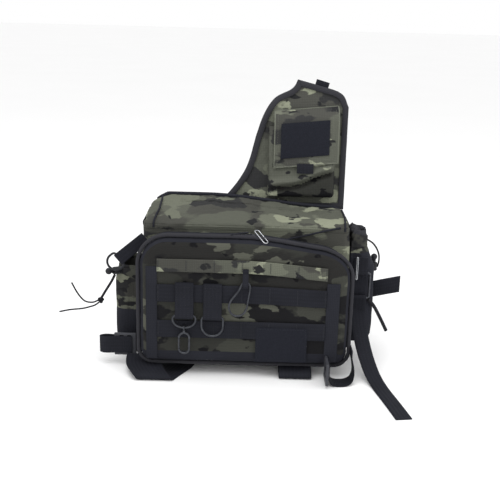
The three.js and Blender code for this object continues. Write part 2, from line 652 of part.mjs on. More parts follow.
// Left side ring on a slanting tab beside the front pocket
const sideRing = group(bag, SIDE_RING.x, SIDE_RING.y, SIDE_RING.z);
sideRing.rotation.y = radians(SIDE_RING.lean);
add(sideRing, "side_tab_left", webTab(SIDE_RING.length, SIDE_RING.width, TAB_HOLE), "webbing");
add(sideRing, "side_ring_left", dRing(SIDE_RING.half, SIDE_RING.drop, WIRE), "plastic");

// Base loops
for (const strap of BASE_LOOPS) {
  const path = smooth(strap.path.map(vector), 32);
  path.forEach((point) => point.setZ(Math.max(point.z, WEB_THICK / 2)));
  add(bag, strap.name, ribbon(path, AXIS_X, strap.width, WEB_THICK), "webbing");
}

// Ladder buckles with the strap loops that run through them
function ladderBuckle() {
  const frame = roundedPlate(BUCKLE.width, BUCKLE.height, 3);
  for (const side of [-1, 1]) {
    const middle = (side * (BUCKLE.slot + 4)) / 2;
    const half = { x: BUCKLE.slot / 2, y: BUCKLE.slotWide / 2 };
    const box = { left: middle - half.x, right: middle + half.x, low: -half.y, high: half.y };
    const corners = { lowLeft: 1.5, lowRight: 1.5, highRight: 1.5, highLeft: 1.5 };
    frame.holes.push(new THREE.Path(outline(box, corners, 0, 1, 1)));
  }
  return upright(frame, BUCKLE.thick);
}
const buckleLeft = group(bag, -167, -38, LEFT_LOOP_Z);
add(buckleLeft, "buckle_left", ladderBuckle(), "plastic");
const leftLoop = smooth(LEFT_LOOP.map(([x, y]) => new THREE.Vector3(x, y, LEFT_LOOP_Z)), 20);
add(bag, "strap_left_loop", ribbon(leftLoop, AXIS_Z, WEB_WIDTH, WEB_THICK), "webbing");
const buckleRight = group(bag, 115.2, FRONT_FACE - 0.5 - BUCKLE.height / 2, 20);
const onEdge = ladderBuckle().applyMatrix4(new THREE.Matrix4().makeBasis(AXIS_Z, AXIS_X, AXIS_Y));
add(buckleRight, "buckle_right", onEdge, "plastic");
const rightLoop = smooth(RIGHT_LOOP.map(vector), 24);
rightLoop.forEach((point) => point.setZ(Math.max(point.z, WEB_THICK / 2)));
add(bag, "strap_right_loop", ribbon(rightLoop, AXIS_Y, WEB_WIDTH, WEB_THICK), "webbing");
const tabPath = smooth(SIDE_TAB.map(vector), 8);
add(bag, "strap_tab_right", ribbon(tabPath, AXIS_Z, WEB_WIDTH, WEB_THICK), "webbing");

// Sling tab, ring, fold and strap
const sling = group(bag, SLING_TAB.x, SLING_TAB.y, SLING_TAB.z);
add(sling, "sling_tab", webTab(SLING_TAB.length, SLING_TAB.width, TAB_HOLE), "webbing");
const slingLoop = roundedPlate(SLING_RING.width, SLING_RING.height, SLING_RING.corner).getPoints();
const slingWire = slingLoop.map((p) => new THREE.Vector3(p.x, 0, p.y - SLING_RING.height / 2));
add(sling, "sling_ring", wire(slingWire, WIRE, 8, AXIS_Y, true), "gunmetal");
const fold = group(sling, 0, 0, -SLING_RING.height);
add(fold, "sling_fold", webTab(SLING_FOLD, SLING_WIDTH - 2, TAB_HOLE).rotateY(Math.PI), "webbing");
const strapTop = new THREE.Vector3(0, TAB_HOLE, -SLING_FOLD - GAP);
const slingPath = smooth([strapTop, ...SLING.map((point) => vector(point).add(strapTop))], 26);
const slingFloor = strapTop.z + SLING[SLING.length - 1][2];
slingPath.forEach((point) => point.setZ(Math.max(point.z, slingFloor)));
const slingAcross = new THREE.Vector3(Math.cos(radians(SLING_SKEW)), Math.sin(radians(SLING_SKEW)), 0);
looseCords.push(add(fold, "sling_strap", ribbon(slingPath, slingAcross, SLING_WIDTH, WEB_THICK), "webbing"));

// Shoulder wing with its binding
function edgeDistance(points, spot) {
  const lengths = points.map((start, k) => {
    const side = new THREE.Vector2().subVectors(points[(k + 1) % points.length], start);
    const away = new THREE.Vector2().subVectors(spot, start);
    const share = THREE.MathUtils.clamp(away.dot(side) / side.lengthSq(), 0, 1);
    return away.addScaledVector(side, -share).length();
  });
  return Math.min(...lengths);
}
function shrunk(points, distance) {
  const count = points.length;
  const moved = points.map((point, k) => {
    const before = point.clone().sub(points[(k + count - 1) % count]).normalize();
    const after = points[(k + 1) % count].clone().sub(point).normalize();
    const inward = new THREE.Vector2(-before.y - after.y, before.x + after.x);
    return point.clone().addScaledVector(inward, distance / (1 + before.dot(after)));
  });
  return moved.filter((point) => edgeDistance(points, point) > distance - SEAM_SLACK);
}
const wing = group(bag, 0, WING.y, WING.z);
wing.rotation.x = radians(-WING.lean);
const leftSide = new THREE.SplineCurve(WING_LEFT.map((p) => new THREE.Vector2(...p))).getPoints(24);
const rightSide = new THREE.SplineCurve(WING_RIGHT.slice(0, 3).map((p) => new THREE.Vector2(...p))).getPoints(8);
const edgeDown = [110, 70, 30, 0].map((z) => {
  return new THREE.Vector2(THREE.MathUtils.lerp(WING_RIGHT[3][0], WING_RIGHT[2][0], z / WING_RIGHT[2][1]), z);
});
const seam = [100, 50, 0].map((x) => new THREE.Vector2(x, 0));
const wingEdge = [...leftSide, ...rightSide, ...edgeDown, ...seam].reverse();
const bindingShape = new THREE.Shape(wingEdge);
bindingShape.holes.push(new THREE.Path(shrunk(wingEdge, WING.bindWide)));
const bindHolder = group(wing, 0, WING.bindThick / 2, 0);
add(bindHolder, "wing_binding", upright(bindingShape, WING.bindThick), "cloth");
const padHolder = group(wing, 0, WING.padThick / 2, 0);
const padShape = new THREE.Shape(shrunk(wingEdge, WING.bindWide + GAP));
add(padHolder, "wing_pad", upright(padShape, WING.padThick), "camo");

// Phone pocket, its flap, patch and pull
const phone = group(wing, PHONE.x, -WING.bindThick / 2 - GAP, PHONE.z);
const phoneBox = { left: -PHONE.width / 2, right: PHONE.width / 2, low: -PHONE.deep, high: 0 };
const phoneCorners = { lowLeft: 7, lowRight: 7, highRight: 2, highLeft: 2 };
const phoneLevels = [
  { rise: 0, inset: 4, tilt: 80 },
  { rise: 5, inset: 0, tilt: 20 },
  { rise: PHONE.height, inset: 0, tilt: 0 },
];
const phoneShape = (inset, wall) => outline(phoneBox, phoneCorners, inset + wall);
const phonePlace = (p, rise, along) => new THREE.Vector3(p.x, p.y, rise + along);
add(phone, "phone_pocket", cup(phoneShape, phoneLevels, 1, phonePlace), "camo");
const flapOut = -PHONE.deep - GAP - FLAP.thick / 2;
const flapPath = [
  [0, -FLAP.thick / 2, FLAP.top],
  [0, -6, FLAP.top - 8],
  [0, flapOut * 0.85, FLAP.top - 21],
  [0, flapOut, PHONE.height + 4],
  [0, flapOut, PHONE.height - 12],
  [0, flapOut, FLAP.bottom],
];
const flapSlope = new THREE.Matrix4().makeShear(0, FLAP.slope, 0, 0, 0, 0);
const flapHolder = group(phone, FLAP.x, 0, 0);
const flapCloth = ribbon(smooth(flapPath.map(vector), 15), AXIS_X, FLAP.width, FLAP.thick);
add(flapHolder, "phone_flap", flapCloth.applyMatrix4(flapSlope), "camo");
const flapFace = flapOut - FLAP.thick / 2 - GAP;
const wingPatch = group(flapHolder, -2, flapFace, WING_PATCH.z);
const pilePlate = upright(roundedPlate(WING_PATCH.width, WING_PATCH.height, 3), WING_PATCH.thick);
add(wingPatch, "loop_patch_wing", pilePlate.applyMatrix4(flapSlope), "loop");
const pullTab = [
  [-1, flapFace - 0.8, FLAP.bottom + 3],
  [-1, flapFace - 1.2, FLAP.bottom - 4],
  [-1, flapFace - 0.6, FLAP.bottom - 11],
];
add(flapHolder, "flap_pull", ribbon(smooth(pullTab.map(vector), 4), AXIS_X, 24, WEB_THICK), "webbing");

// Short webbing end at the tip of the wing
const tip = [[105, WING.bindThick / 2 + GAP + 0.8, 156], [105, WING.bindThick / 2 + GAP + 0.8, 188]];
add(wing, "wing_loop", ribbon(tip.map(vector), AXIS_X, 20, WEB_THICK), "webbing");

// The origin is under the middle of all that keeps its form
bag.updateMatrixWorld(true);
const bounds = new THREE.Box3();
bag.traverse((piece) => {
  if (piece.isMesh && !looseCords.includes(piece)) {
    bounds.expandByObject(piece, true);
  }
});
const middle = bounds.getCenter(new THREE.Vector3());
bag.position.set(-middle.x, -middle.y, -bounds.min.z);
root.updateMatrixWorld(true);

export default root;
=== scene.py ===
import math

import bpy
from mathutils import Matrix, Vector, noise


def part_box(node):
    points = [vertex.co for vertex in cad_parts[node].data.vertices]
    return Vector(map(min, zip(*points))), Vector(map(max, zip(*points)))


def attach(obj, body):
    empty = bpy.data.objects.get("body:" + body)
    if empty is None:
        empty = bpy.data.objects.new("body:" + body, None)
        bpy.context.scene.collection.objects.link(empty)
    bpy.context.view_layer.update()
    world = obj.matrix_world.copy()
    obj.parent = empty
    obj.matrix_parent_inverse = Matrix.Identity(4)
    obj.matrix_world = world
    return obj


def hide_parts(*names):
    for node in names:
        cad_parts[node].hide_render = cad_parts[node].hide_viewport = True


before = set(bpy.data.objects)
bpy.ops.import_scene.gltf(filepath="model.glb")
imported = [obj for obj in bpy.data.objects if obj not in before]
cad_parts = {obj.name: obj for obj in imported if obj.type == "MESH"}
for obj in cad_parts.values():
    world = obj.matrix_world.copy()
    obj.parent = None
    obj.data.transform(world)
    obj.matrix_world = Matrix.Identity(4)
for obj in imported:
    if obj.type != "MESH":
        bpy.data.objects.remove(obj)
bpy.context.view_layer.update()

# Studio. A pale floor in a bright room, one large soft lamp above the front of the bag and a weaker
# one on the right, as for a shop photo. The camera stands about 1.1 m away and looks down on the bag.
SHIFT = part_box("main_shell")[0] * 1000 - Vector((-145, -35, 18))


def place(x, y, z):
    """A point given in millimetres from the middle of the bag, in the metres of the frame."""
    return (Vector((x, y, z)) + SHIFT) / 1000


def linear(code):
    """A screen colour such as #4a4b40 as the linear numbers that a shader takes."""
    shares = [int(code[i:i + 2], 16) / 255 for i in (1, 3, 5)]
    return (*[s / 12.92 if s <= 0.04045 else ((s + 0.055) / 1.055) ** 2.4 for s in shares], 1.0)


def node(tree, kind, links=None, **settings):
    """Adds one shader node with its settings, and joins its inputs to values or to other nodes."""
    made = tree.nodes.new("ShaderNode" + kind)
    for key, value in settings.items():
        setattr(made, key, value)
    for key, value in (links or {}).items():
        if isinstance(value, bpy.types.NodeSocket):
            tree.links.new(value, made.inputs[key])
        else:
            made.inputs[key].default_value = value
    return made


def new_finish(name, sockets):
    """A material with its shader's sockets set by their names."""
    material = bpy.data.materials.new(name)
    material.use_nodes = True
    shader = material.node_tree.nodes["Principled BSDF"]
    for key, value in sockets.items():
        shader.inputs[key].default_value = value
    return material, material.node_tree, shader


CAMERA_SPOT = (0, -1099, 481)
CAMERA_DOWN = 16.2
CAMERA_RIGHT = 0.3
CAMERA_ROLL = 1.5
FOCAL_SHARE = 807 / 500
bpy.ops.object.select_all(action="DESELECT")
bpy.ops.object.camera_add(location=place(*CAMERA_SPOT))
camera = bpy.context.object
aim = Matrix.Rotation(math.radians(-CAMERA_RIGHT), 4, "Z")
aim = aim @ Matrix.Rotation(math.radians(90 - CAMERA_DOWN), 4, "X")
aim = aim @ Matrix.Rotation(math.radians(CAMERA_ROLL), 4, "Z")
camera.rotation_euler = aim.to_euler()
camera.data.sensor_width = 36
camera.data.lens = FOCAL_SHARE * camera.data.sensor_width
bpy.context.scene.camera = camera
bpy.context.scene.view_settings.view_transform = "Standard"

floor_paint, floor_tree, floor_shader = new_finish("pale_studio_floor", {"Roughness": 0.9})
floor_spot = node(floor_tree, "TexCoord").outputs["Object"]
floor_cloud = node(floor_tree, "TexNoise", {"Vector": floor_spot, "Scale": 1.5}).outputs[0]
floor_tone = node(
    floor_tree, "Mix", {0: floor_cloud, 6: linear("#f8f8f8"), 7: linear("#fcfcfc")}, data_type="RGBA"
)
floor_tree.links.new(floor_tone.outputs[2], floor_shader.inputs["Base Color"])
bpy.ops.mesh.primitive_plane_add(size=60)
floor = bpy.context.object
floor.name = "studio_floor"
floor.data.materials.append(floor_paint)

LAMPS = [
    {"spot": (-200, -450, 1700), "size": 1.2, "power": 14},
    {"spot": (1100, -500, 900), "size": 1.0, "power": 2},
]
for lamp in LAMPS:
    bpy.ops.object.light_add(type="AREA", location=place(*lamp["spot"]))
    light = bpy.context.object
    light.data.size = lamp["size"]
    light.data.energy = lamp["power"]
    light.rotation_euler = (place(0, 0, 150) - light.location).to_track_quat("-Z", "Y").to_euler()
room = bpy.data.worlds.new("bright_room")
room.use_nodes = True
room.node_tree.nodes["Background"].inputs["Color"].default_value = (1, 1, 1, 1)
room.node_tree.nodes["Background"].inputs["Strength"].default_value = 1.0
bpy.context.scene.world = room

# Draw cords. Thin braided polyester cords close the side pouches; the left one hangs from its lock to
# an overhand knot with two stiff ends, the right one is a loop, and a thicker tail hangs beside it.
CORDS = [
    {"name": "drawcord_left", "radius": 1.8, "end": "knot", "lay": "hanging",
     "path": [(-183, -22, 127), (-188, -21, 117), (-197, -18, 102), (-204.2, -13.6, 89.5)]},
    {"name": "cord_tail_upper", "radius": 1.15, "end": "bare", "lay": "loose",
     "path": [(-208.3, -15.2, 86.2), (-216, -17, 83.6), (-226, -18, 85), (-232, -19.5, 91), (-238, -21, 101),
              (-244, -22, 114)]},
    {"name": "cord_tail_lower", "radius": 1.15, "end": "bare", "lay": "loose",
     "path": [(-207.3, -15.8, 83.4), (-213, -17, 79.4), (-221, -18, 76.8), (-230, -20, 75), (-248, -24, 74),
              (-262, -26, 71.5)]},
    {"name": "drawcord_right", "radius": 1.3, "end": "object", "lay": "hanging",
     "path": [(194.6, 40, 129), (196.2, 40, 137), (195.8, 39.5, 147), (192, 37.5, 157), (184, 30, 168),
              (172, 21, 177)]},
    {"name": "side_tail", "radius": 2.5, "end": "bare", "lay": "hanging",
     "path": [(175.1, -19.7, 99), (184.2, -14.2, 87.5), (196, -8, 66.5), (205.8, -8, 47.6)]},
]
KNOT_SPOT = Vector((-205, -14, 86))
KNOT_SCALE = 1.15
KNOT_CORD = 1.5


def curve_points(points, steps):
    """A smooth line through the points, with the same number of steps between each two."""
    spots = [Vector(p) for p in points]
    spots = [spots[0] * 2 - spots[1], *spots, spots[-1] * 2 - spots[-2]]
    found = [spots[1]]
    for a, b, c, d in zip(spots, spots[1:], spots[2:], spots[3:]):
        tb = (b - a).length ** 0.5
        tc = tb + (c - b).length ** 0.5
        td = tc + (d - c).length ** 0.5
        for k in range(1, steps + 1):
            t = tb + (tc - tb) * k / steps
            ab = a.lerp(b, t / tb)
            bc = b.lerp(c, (t - tb) / (tc - tb))
            cd = c.lerp(d, (t - tc) / (td - tc))
            abc = ab.lerp(bc, t / tc)
            bcd = bc.lerp(cd, (t - tb) / (td - tb))
            found.append(abc.lerp(bcd, (t - tb) / (tc - tb)))
    return found


def activate(piece):
    """Leaves this piece selected and active, and nothing else."""
    bpy.ops.object.select_all(action="DESELECT")
    piece.select_set(True)
    bpy.context.view_layer.objects.active = piece


def face_outwards(piece):
    """Turns all faces of a piece outwards."""
    activate(piece)
    bpy.ops.object.mode_set(mode="EDIT")
    bpy.ops.mesh.select_all(action="SELECT")
    bpy.ops.mesh.normals_make_consistent(inside=False)
    bpy.ops.object.mode_set(mode="OBJECT")


def new_piece(name, points, edges, faces):
    """A new piece whose mesh has these points, in metres."""
    mesh = bpy.data.meshes.new(name)
    mesh.from_pydata(points, edges, faces)
    mesh.update()
    piece = bpy.data.objects.new(name, mesh)
    bpy.context.collection.objects.link(piece)
    return piece


def skin(name, rings, closed=True, caps=()):
    """Sews rings of points, in millimetres, into a skin whose UV is in metres across and along it."""
    count = len(rings[0])
    wide = count if closed else count - 1
    points = [place(*p) for ring in rings for p in ring]

    def gap(i, k, j, m):
        return (points[i * count + k % count] - points[j * count + m % count]).length

    across = [[0.0] for _ in rings]
    for i, row in enumerate(across):
        for k in range(wide):
            row.append(row[-1] + gap(i, k, i, k + 1))
    along = [[0.0] * (wide + 1)]
    for i in range(1, len(rings)):
        along.append([along[-1][k] + gap(i, k, i - 1, k) for k in range(wide + 1)])
    faces, flat = [], []
    for i in range(len(rings) - 1):
        for k in range(wide):
            corners = [(i, k), (i, k + 1), (i + 1, k + 1), (i + 1, k)]
            faces.append([a * count + b % count for a, b in corners])
            flat.extend((across[a][b], along[a][b]) for a, b in corners)
    for cap in caps:
        first = cap % len(rings) * count
        faces.append(list(range(first, first + count)))
        flat.extend((p.x + p.y, p.z) for p in points[first:first + count])
    piece = new_piece(name, points, [], faces)
    layer = piece.data.uv_layers.new(name="UVMap")
    for corner, spot in zip(layer.data, flat):
        corner.uv = spot
    face_outwards(piece)
    return piece


def turned(path, closed=False):
    """Two directions square to a path at each of its points, without twist."""
    last = len(path) - 1
    side = None
    found = []
    for i in range(len(path)):
        before = path[i - 1] if closed or i > 0 else path[0]
        after = path[(i + 1) % len(path)] if closed or i < last else path[last]
        ahead = (after - before).normalized()
        if side is None:
            side = ahead.orthogonal()
        side = (side - ahead * side.dot(ahead)).normalized()
        found.append((side.copy(), ahead.cross(side)))
    return found


def tube(name, path, radius, sides=10, closed=False):
    """A round cord or welt along a path in millimetres."""
    rings = []
    for spot, (side, up) in zip(path, turned(path, closed)):
        angles = [2 * math.pi * k / sides for k in range(sides)]
        rings.append([spot + side * (radius * math.cos(a)) + up * (radius * math.sin(a)) for a in angles])
    if closed:
        rings.append(rings[0])
    return skin(name, rings, True, () if closed else (0, -1))


def dressed(piece, materials, nodes=(), body="bag", angle=45):
    """Gives a finished piece its materials, the nodes that it stands for and the body that it rides."""
    for material in materials:
        piece.data.materials.append(material)
    activate(piece)
    bpy.ops.object.shade_smooth_by_angle(angle=math.radians(angle))
    if nodes:
        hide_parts(*nodes)
    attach(piece, body)


def relief(tree, shader, pattern, tones, strength, height):
    """Tones a finish from its hollows to its crowns by one pattern, and raises it by the same pattern."""
    tone = node(tree, "Mix", {0: pattern, 6: linear(tones[0]), 7: linear(tones[1])}, data_type="RGBA")
    bump = node(tree, "Bump", {"Height": pattern, "Strength": strength, "Distance": height})
    tree.links.new(tone.outputs[2], shader.inputs["Base Color"])
    tree.links.new(bump.outputs[0], shader.inputs["Normal"])


# At scale 1 a wave texture repeats after this length, so a pitch in metres needs the scale WAVE / pitch.
WAVE = 2 * math.pi / 20

# Braided polyester: two sets of threads cross in slanting lines, matt with a faint shine; its colour paints
# shade in the hollows between the threads and lightens to a painted highlight on their crowns.
# The braid is drawn 2 mm wide, twice its real pitch, because it would not show otherwise.
BRAID = 0.002
braid, braid_tree, braid_shader = new_finish("braided_cord", {"Roughness": 0.8, "Specular IOR Level": 0.15})
braid_flat = node(braid_tree, "TexCoord").outputs["UV"]
braid_lines = []
for turn in (0.9, -0.9):
    slant = node(braid_tree, "Mapping", {"Vector": braid_flat, "Rotation": (0, 0, turn)}).outputs[0]
    braid_lines.append(node(braid_tree, "TexWave", {"Vector": slant, "Scale": WAVE / BRAID}).outputs[1])
braid_cross = node(braid_tree, "Math", dict(enumerate(braid_lines)), operation="MULTIPLY").outputs[0]
relief(braid_tree, braid_shader, braid_cross, ("#1b1b1f", "#35353a"), 0.6, 0.0004)

knot_turns = [2 * math.pi * k / 60 for k in range(60)]
knot_path = [
    (math.sin(t) + 2 * math.sin(2 * t), 1.1 * math.sin(3 * t), math.cos(t) - 2 * math.cos(2 * t))
    for t in knot_turns
]
knot_path = [KNOT_SPOT + KNOT_SCALE * Vector(p) for p in knot_path]
knot = tube("overhand_knot", knot_path, KNOT_CORD, closed=True)
dressed(knot, [braid], ["cord_knot"])


for row in CORDS:
    route = curve_points(row["path"], 8)
    piece = tube(row["name"] + "_braid", route, row["radius"])
    dressed(piece, [braid], [row["name"]])

# Sling on the right. A webbing tab on the bag's corner holds an oblong steel ring, and a second fold of
# webbing on the ring carries the free strap, which runs down to the floor and ends in a sealed cut.
WEB = 1.6
RING_WIRE = 1.6
NO_TURN = Matrix.Identity(3)


def weave(tree, shader, colour, warp, weft, depth, shade):
    """Crossing threads on the cloth's own UV: a painted shade between the threads, and raised on them."""
    flat = node(tree, "TexCoord").outputs["UV"]
    lines = [
        node(tree, "TexWave", {"Vector": flat, "Scale": WAVE / pitch}, bands_direction=way).outputs[1]
        for way, pitch in (("X", warp), ("Y", weft))
    ]
    cross = node(tree, "Math", dict(enumerate(lines)), operation="MULTIPLY").outputs[0]
    toned = node(
        tree, "Mix", {0: shade, 6: colour, 7: cross}, data_type="RGBA", blend_type="MULTIPLY"
    ).outputs[2]
    bump = node(tree, "Bump", {"Height": cross, "Strength": depth, "Distance": 0.0006})
    tree.links.new(toned, shader.inputs["Base Color"])
    tree.links.new(bump.outputs[0], shader.inputs["Normal"])


def clouded(tree, tones, scale):
    """A colour that drifts between two tones over the piece, as dyed cloth does."""
    spot = node(tree, "TexCoord").outputs["Object"]
    cloud = node(tree, "TexNoise", {"Vector": spot, "Scale": scale, "Detail": 3}).outputs[0]
    return node(
        tree, "Mix", {0: cloud, 6: linear(tones[0]), 7: linear(tones[1])}, data_type="RGBA"
    ).outputs[2]


def woven(name, dull, shine, tones, cloud, threads, depth, shade):
    """A dyed cloth: how dull it is, its tones and their drift, its two thread pitches, its relief and the
    painted shade between its threads.
    """
    material, tree, shader = new_finish(name, {"Roughness": dull, "Specular IOR Level": shine})
    weave(tree, shader, clouded(tree, tones, cloud), *threads, depth, shade)
    return material


# Nylon webbing: thick ribs lie across the strap and thin lines run along it, with a dull silky shine.
# The ribs are drawn 2.6 mm apart, coarser than the real 1.5 mm, so that they show.
webbing = woven("nylon_webbing", 0.7, 0.07, ("#1f2025", "#2a2b32"), 30, (0.0052, 0.0026), 0.5, 0.2)


def strap(name, path, across, width, thick=WEB - 0.1):
    """Webbing along a path: a flat section with rounded selvedges and straight cut ends."""
    across = Vector(across).normalized()
    half, rise = width / 2, thick / 2
    upper = [(half, 0), (half - 0.3, 0.7 * rise), (half - 1, rise), (half / 2, rise), (0, rise)]
    upper += [(-s, t) for s, t in reversed(upper[:-1])]
    section = upper + [(-s, -t) for s, t in upper[1:-1]]
    rings = []
    last = len(path) - 1
    for i, spot in enumerate(path):
        ahead = (path[min(i + 1, last)] - path[max(i - 1, 0)]).normalized()
        up = ahead.cross(across).normalized()
        rings.append([spot + across * s + up * t for s, t in section])
    return skin(name, rings, True, (0, -1))


def arc(x, z, radius, start, end, steps=8):
    """Points of an arc in the X and Z plane, from one angle to another in degrees."""
    angles = [math.radians(start + (end - start) * k / steps) for k in range(steps + 1)]
    return [(x + radius * math.cos(a), z + radius * math.sin(a)) for a in angles]


def tab_line(length, hole):
    """Side view of webbing folded round a bar at the origin: back layer, eye, front layer."""
    bend = hole + WEB / 2
    front = hole - WEB / 2
    line = [(bend, length - (length - bend) * k / 4) for k in range(4)]
    line += arc(0, 0, bend, 0, -180, 9)
    line += [(front, 2.2 * (hole + WEB)), (front, 0.7 * length), (front, length)]
    return line


def upright(spot, line, turn=NO_TURN):
    """A flat line of X and Z set upright at a spot, with an optional turn of the whole line."""
    return [spot + turn @ Vector((x, 0, z)) for x, z in line]


def folded_tab(name, spot, length, width, hole, turn=NO_TURN):
    """A webbing tab whose eye lies at the spot, with an optional turn of the whole tab."""
    path = [Vector(spot) + turn @ Vector((0, y, z)) for y, z in tab_line(length, hole)]
    return strap(name, path, turn @ Vector((1, 0, 0)), width)


def laid(plan, steps, floor=WEB / 2):
    """A smooth strap route through points, which lies on the floor where it would sink below it."""
    route = curve_points(plan, steps)
    for point in route:
        point.z = max(point.z, floor)
    return route


def bent_wire(name, points, radius, closed=False):
    """Round wire bent along the points, in millimetres, and made a mesh."""
    bpy.ops.object.select_all(action="DESELECT")
    bpy.ops.curve.primitive_nurbs_path_add()
    piece = bpy.context.object
    piece.name = name
    curve = piece.data
    curve.splines.clear()
    line = curve.splines.new("POLY")
    line.points.add(len(points) - 1)
    for spot, point in zip(line.points, points):
        spot.co = (*place(*point), 1)
    line.use_cyclic_u = closed
    curve.bevel_depth = radius / 1000
    curve.bevel_resolution = 4
    curve.use_fill_caps = not closed
    bpy.ops.object.convert(target="MESH")
    return bpy.context.object


# Zinc alloy with a dark nickel plate: a satin metal, lighter and smoother where it has rubbed bright.
gunmetal, gunmetal_tree, gunmetal_shader = new_finish("dark_nickel_plate", {"Metallic": 1.0})
gunmetal_spot = node(gunmetal_tree, "TexCoord").outputs["Object"]
gunmetal_cloud = {"Vector": gunmetal_spot, "Scale": 260, "Detail": 4}
gunmetal_wear = node(gunmetal_tree, "TexNoise", gunmetal_cloud).outputs[0]
gunmetal_dyes = {0: gunmetal_wear, 6: linear("#2b2c30"), 7: linear("#585a5f")}
gunmetal_tone = node(gunmetal_tree, "Mix", gunmetal_dyes, data_type="RGBA")
gunmetal_dull = node(gunmetal_tree, "MapRange", {0: gunmetal_wear, 3: 0.46, 4: 0.28})
gunmetal_tree.links.new(gunmetal_tone.outputs[2], gunmetal_shader.inputs["Base Color"])
gunmetal_tree.links.new(gunmetal_dull.outputs[0], gunmetal_shader.inputs["Roughness"])

SLING_SPOT = Vector((161, -23.7, 139))
RING_WIDE, RING_TALL, RING_BEND = 27, 36, 3
EYE = 2.1
TAB_LONG, FOLD_LONG, FOLD_WIDE = 22, 18, 20
STRAP_WIDE = 22
STRAP_SKEW = math.radians(8)
sling_tab = folded_tab("sling_tab_webbing", SLING_SPOT, TAB_LONG, FOLD_WIDE, EYE)
dressed(sling_tab, [webbing], ["sling_tab"])
side, foot = RING_WIDE / 2 - RING_BEND, RING_BEND - RING_TALL
ring_line = arc(side, -RING_BEND, RING_BEND, 90, 0) + arc(side, foot, RING_BEND, 0, -90)
ring_line += arc(-side, foot, RING_BEND, -90, -180) + arc(-side, -RING_BEND, RING_BEND, 180, 90)
sling_ring = bent_wire("sling_ring_wire", upright(SLING_SPOT, ring_line), RING_WIRE, True)
dressed(sling_ring, [gunmetal], ["sling_ring"])
fold_spot = SLING_SPOT - Vector((0, 0, RING_TALL))
half_turn = Matrix.Rotation(math.pi, 3, "Y")
sling_fold = folded_tab("sling_fold_webbing", fold_spot, FOLD_LONG, FOLD_WIDE, EYE, half_turn)
dressed(sling_fold, [webbing], ["sling_fold"])
SLING_STEPS = [
    (0, 0, 0), (0.4, -2, -9), (3, -15, -29), (9, -35, -54), (17, -57, -74), (24, -77, -82.2),
    (29, -99, -83.7), (35, -129, -83.7), (42, -167, -83.7),
]
strap_top = fold_spot + Vector((0, EYE, -FOLD_LONG - 0.4))
strap_floor = strap_top.z + SLING_STEPS[-1][2]
sling_route = laid([strap_top + Vector(p) for p in SLING_STEPS], 5, strap_floor)
strap_across = (math.cos(STRAP_SKEW), math.sin(STRAP_SKEW), 0)
sling_strap = strap("sling_strap_webbing", sling_route, strap_across, STRAP_WIDE)
dressed(sling_strap, [webbing], ["sling_strap"])

# Main compartment. A deep box of printed polyester with rounded corners, sewn to a black base that
# wears better; a black welt covers that seam, and the cloth hangs in soft creases between the corners.
CAMO_LAYERS = [
    {"tone": "#5f6258", "size": 0.090, "cut": 0.50, "soft": 0.012, "seed": 1.0},
    {"tone": "#393a3a", "size": 0.062, "cut": 0.55, "soft": 0.010, "seed": 5.0},
    {"tone": "#717567", "size": 0.055, "cut": 0.58, "soft": 0.010, "seed": 9.0},
    {"tone": "#959a85", "size": 0.042, "cut": 0.625, "soft": 0.008, "seed": 14.0},
    {"tone": "#2d2e2f", "size": 0.026, "cut": 0.65, "soft": 0.012, "seed": 21.0},
]
PLAIN_WEAVE = (0.0024, 0.0024)


# Printed polyester: muted greens and greys in torn, lying blotches over a visible plain weave.
# The weave is drawn at 2.4 mm, about three times its real pitch, so that it shows.
def camouflage(name, offset, painted_light_tint):
    """One cut of the printed cloth; the offset moves the print, and the tint paints the light and shade on
    that part of the bag, darker where it lies in shade.
    """
    material, tree, shader = new_finish(name, {"Roughness": 0.9, "Specular IOR Level": 0.1})
    spot = node(tree, "TexCoord").outputs["Object"]
    spot = node(tree, "Mapping", {"Vector": spot, "Location": offset, "Scale": (0.8, 1, 1.35)}).outputs[0]
    torn = node(tree, "TexNoise", {"Vector": spot, "Scale": 70, "Detail": 3}).outputs[1]
    torn = node(tree, "VectorMath", {0: torn, 1: (0.5, 0.5, 0.5)}, operation="SUBTRACT").outputs[0]
    torn = node(tree, "VectorMath", {0: torn, "Scale": 0.022}, operation="SCALE").outputs[0]
    spot = node(tree, "VectorMath", {0: spot, 1: torn}, operation="ADD").outputs[0]
    colour = clouded(tree, ("#484944", "#54554f"), 18)
    for layer in CAMO_LAYERS:
        field = node(
            tree, "TexNoise", {"Vector": spot, "W": layer["seed"], "Scale": 1 / layer["size"], "Detail": 1.0},
            noise_dimensions="4D",
        ).outputs[0]
        edge = {0: field, 1: layer["cut"] - layer["soft"], 2: layer["cut"] + layer["soft"]}
        mask = node(tree, "MapRange", edge).outputs[0]
        colour = node(
            tree, "Mix", {0: mask, 6: colour, 7: linear(layer["tone"])}, data_type="RGBA"
        ).outputs[2]
    # Painted light and shade: the tint darkens the whole print as far as that part of the bag is shaded.
    colour = node(
        tree, "Mix", {0: 1.0, 6: colour, 7: (*painted_light_tint, 1)}, data_type="RGBA", blend_type="MULTIPLY"
    ).outputs[2]
    weave(tree, shader, colour, *PLAIN_WEAVE, 0.35, 0.22)
    return material


camo_lid = camouflage("printed_polyester_lid", (0.05, 0.33, 0.21), (0.93, 0.91, 0.92))

# Plain black polyester of the same weight, a little bluish, with the same weave.
black_cloth = woven("black_polyester", 0.88, 0.07, ("#27282e", "#313239"), 22, PLAIN_WEAVE, 0.35, 0.25)


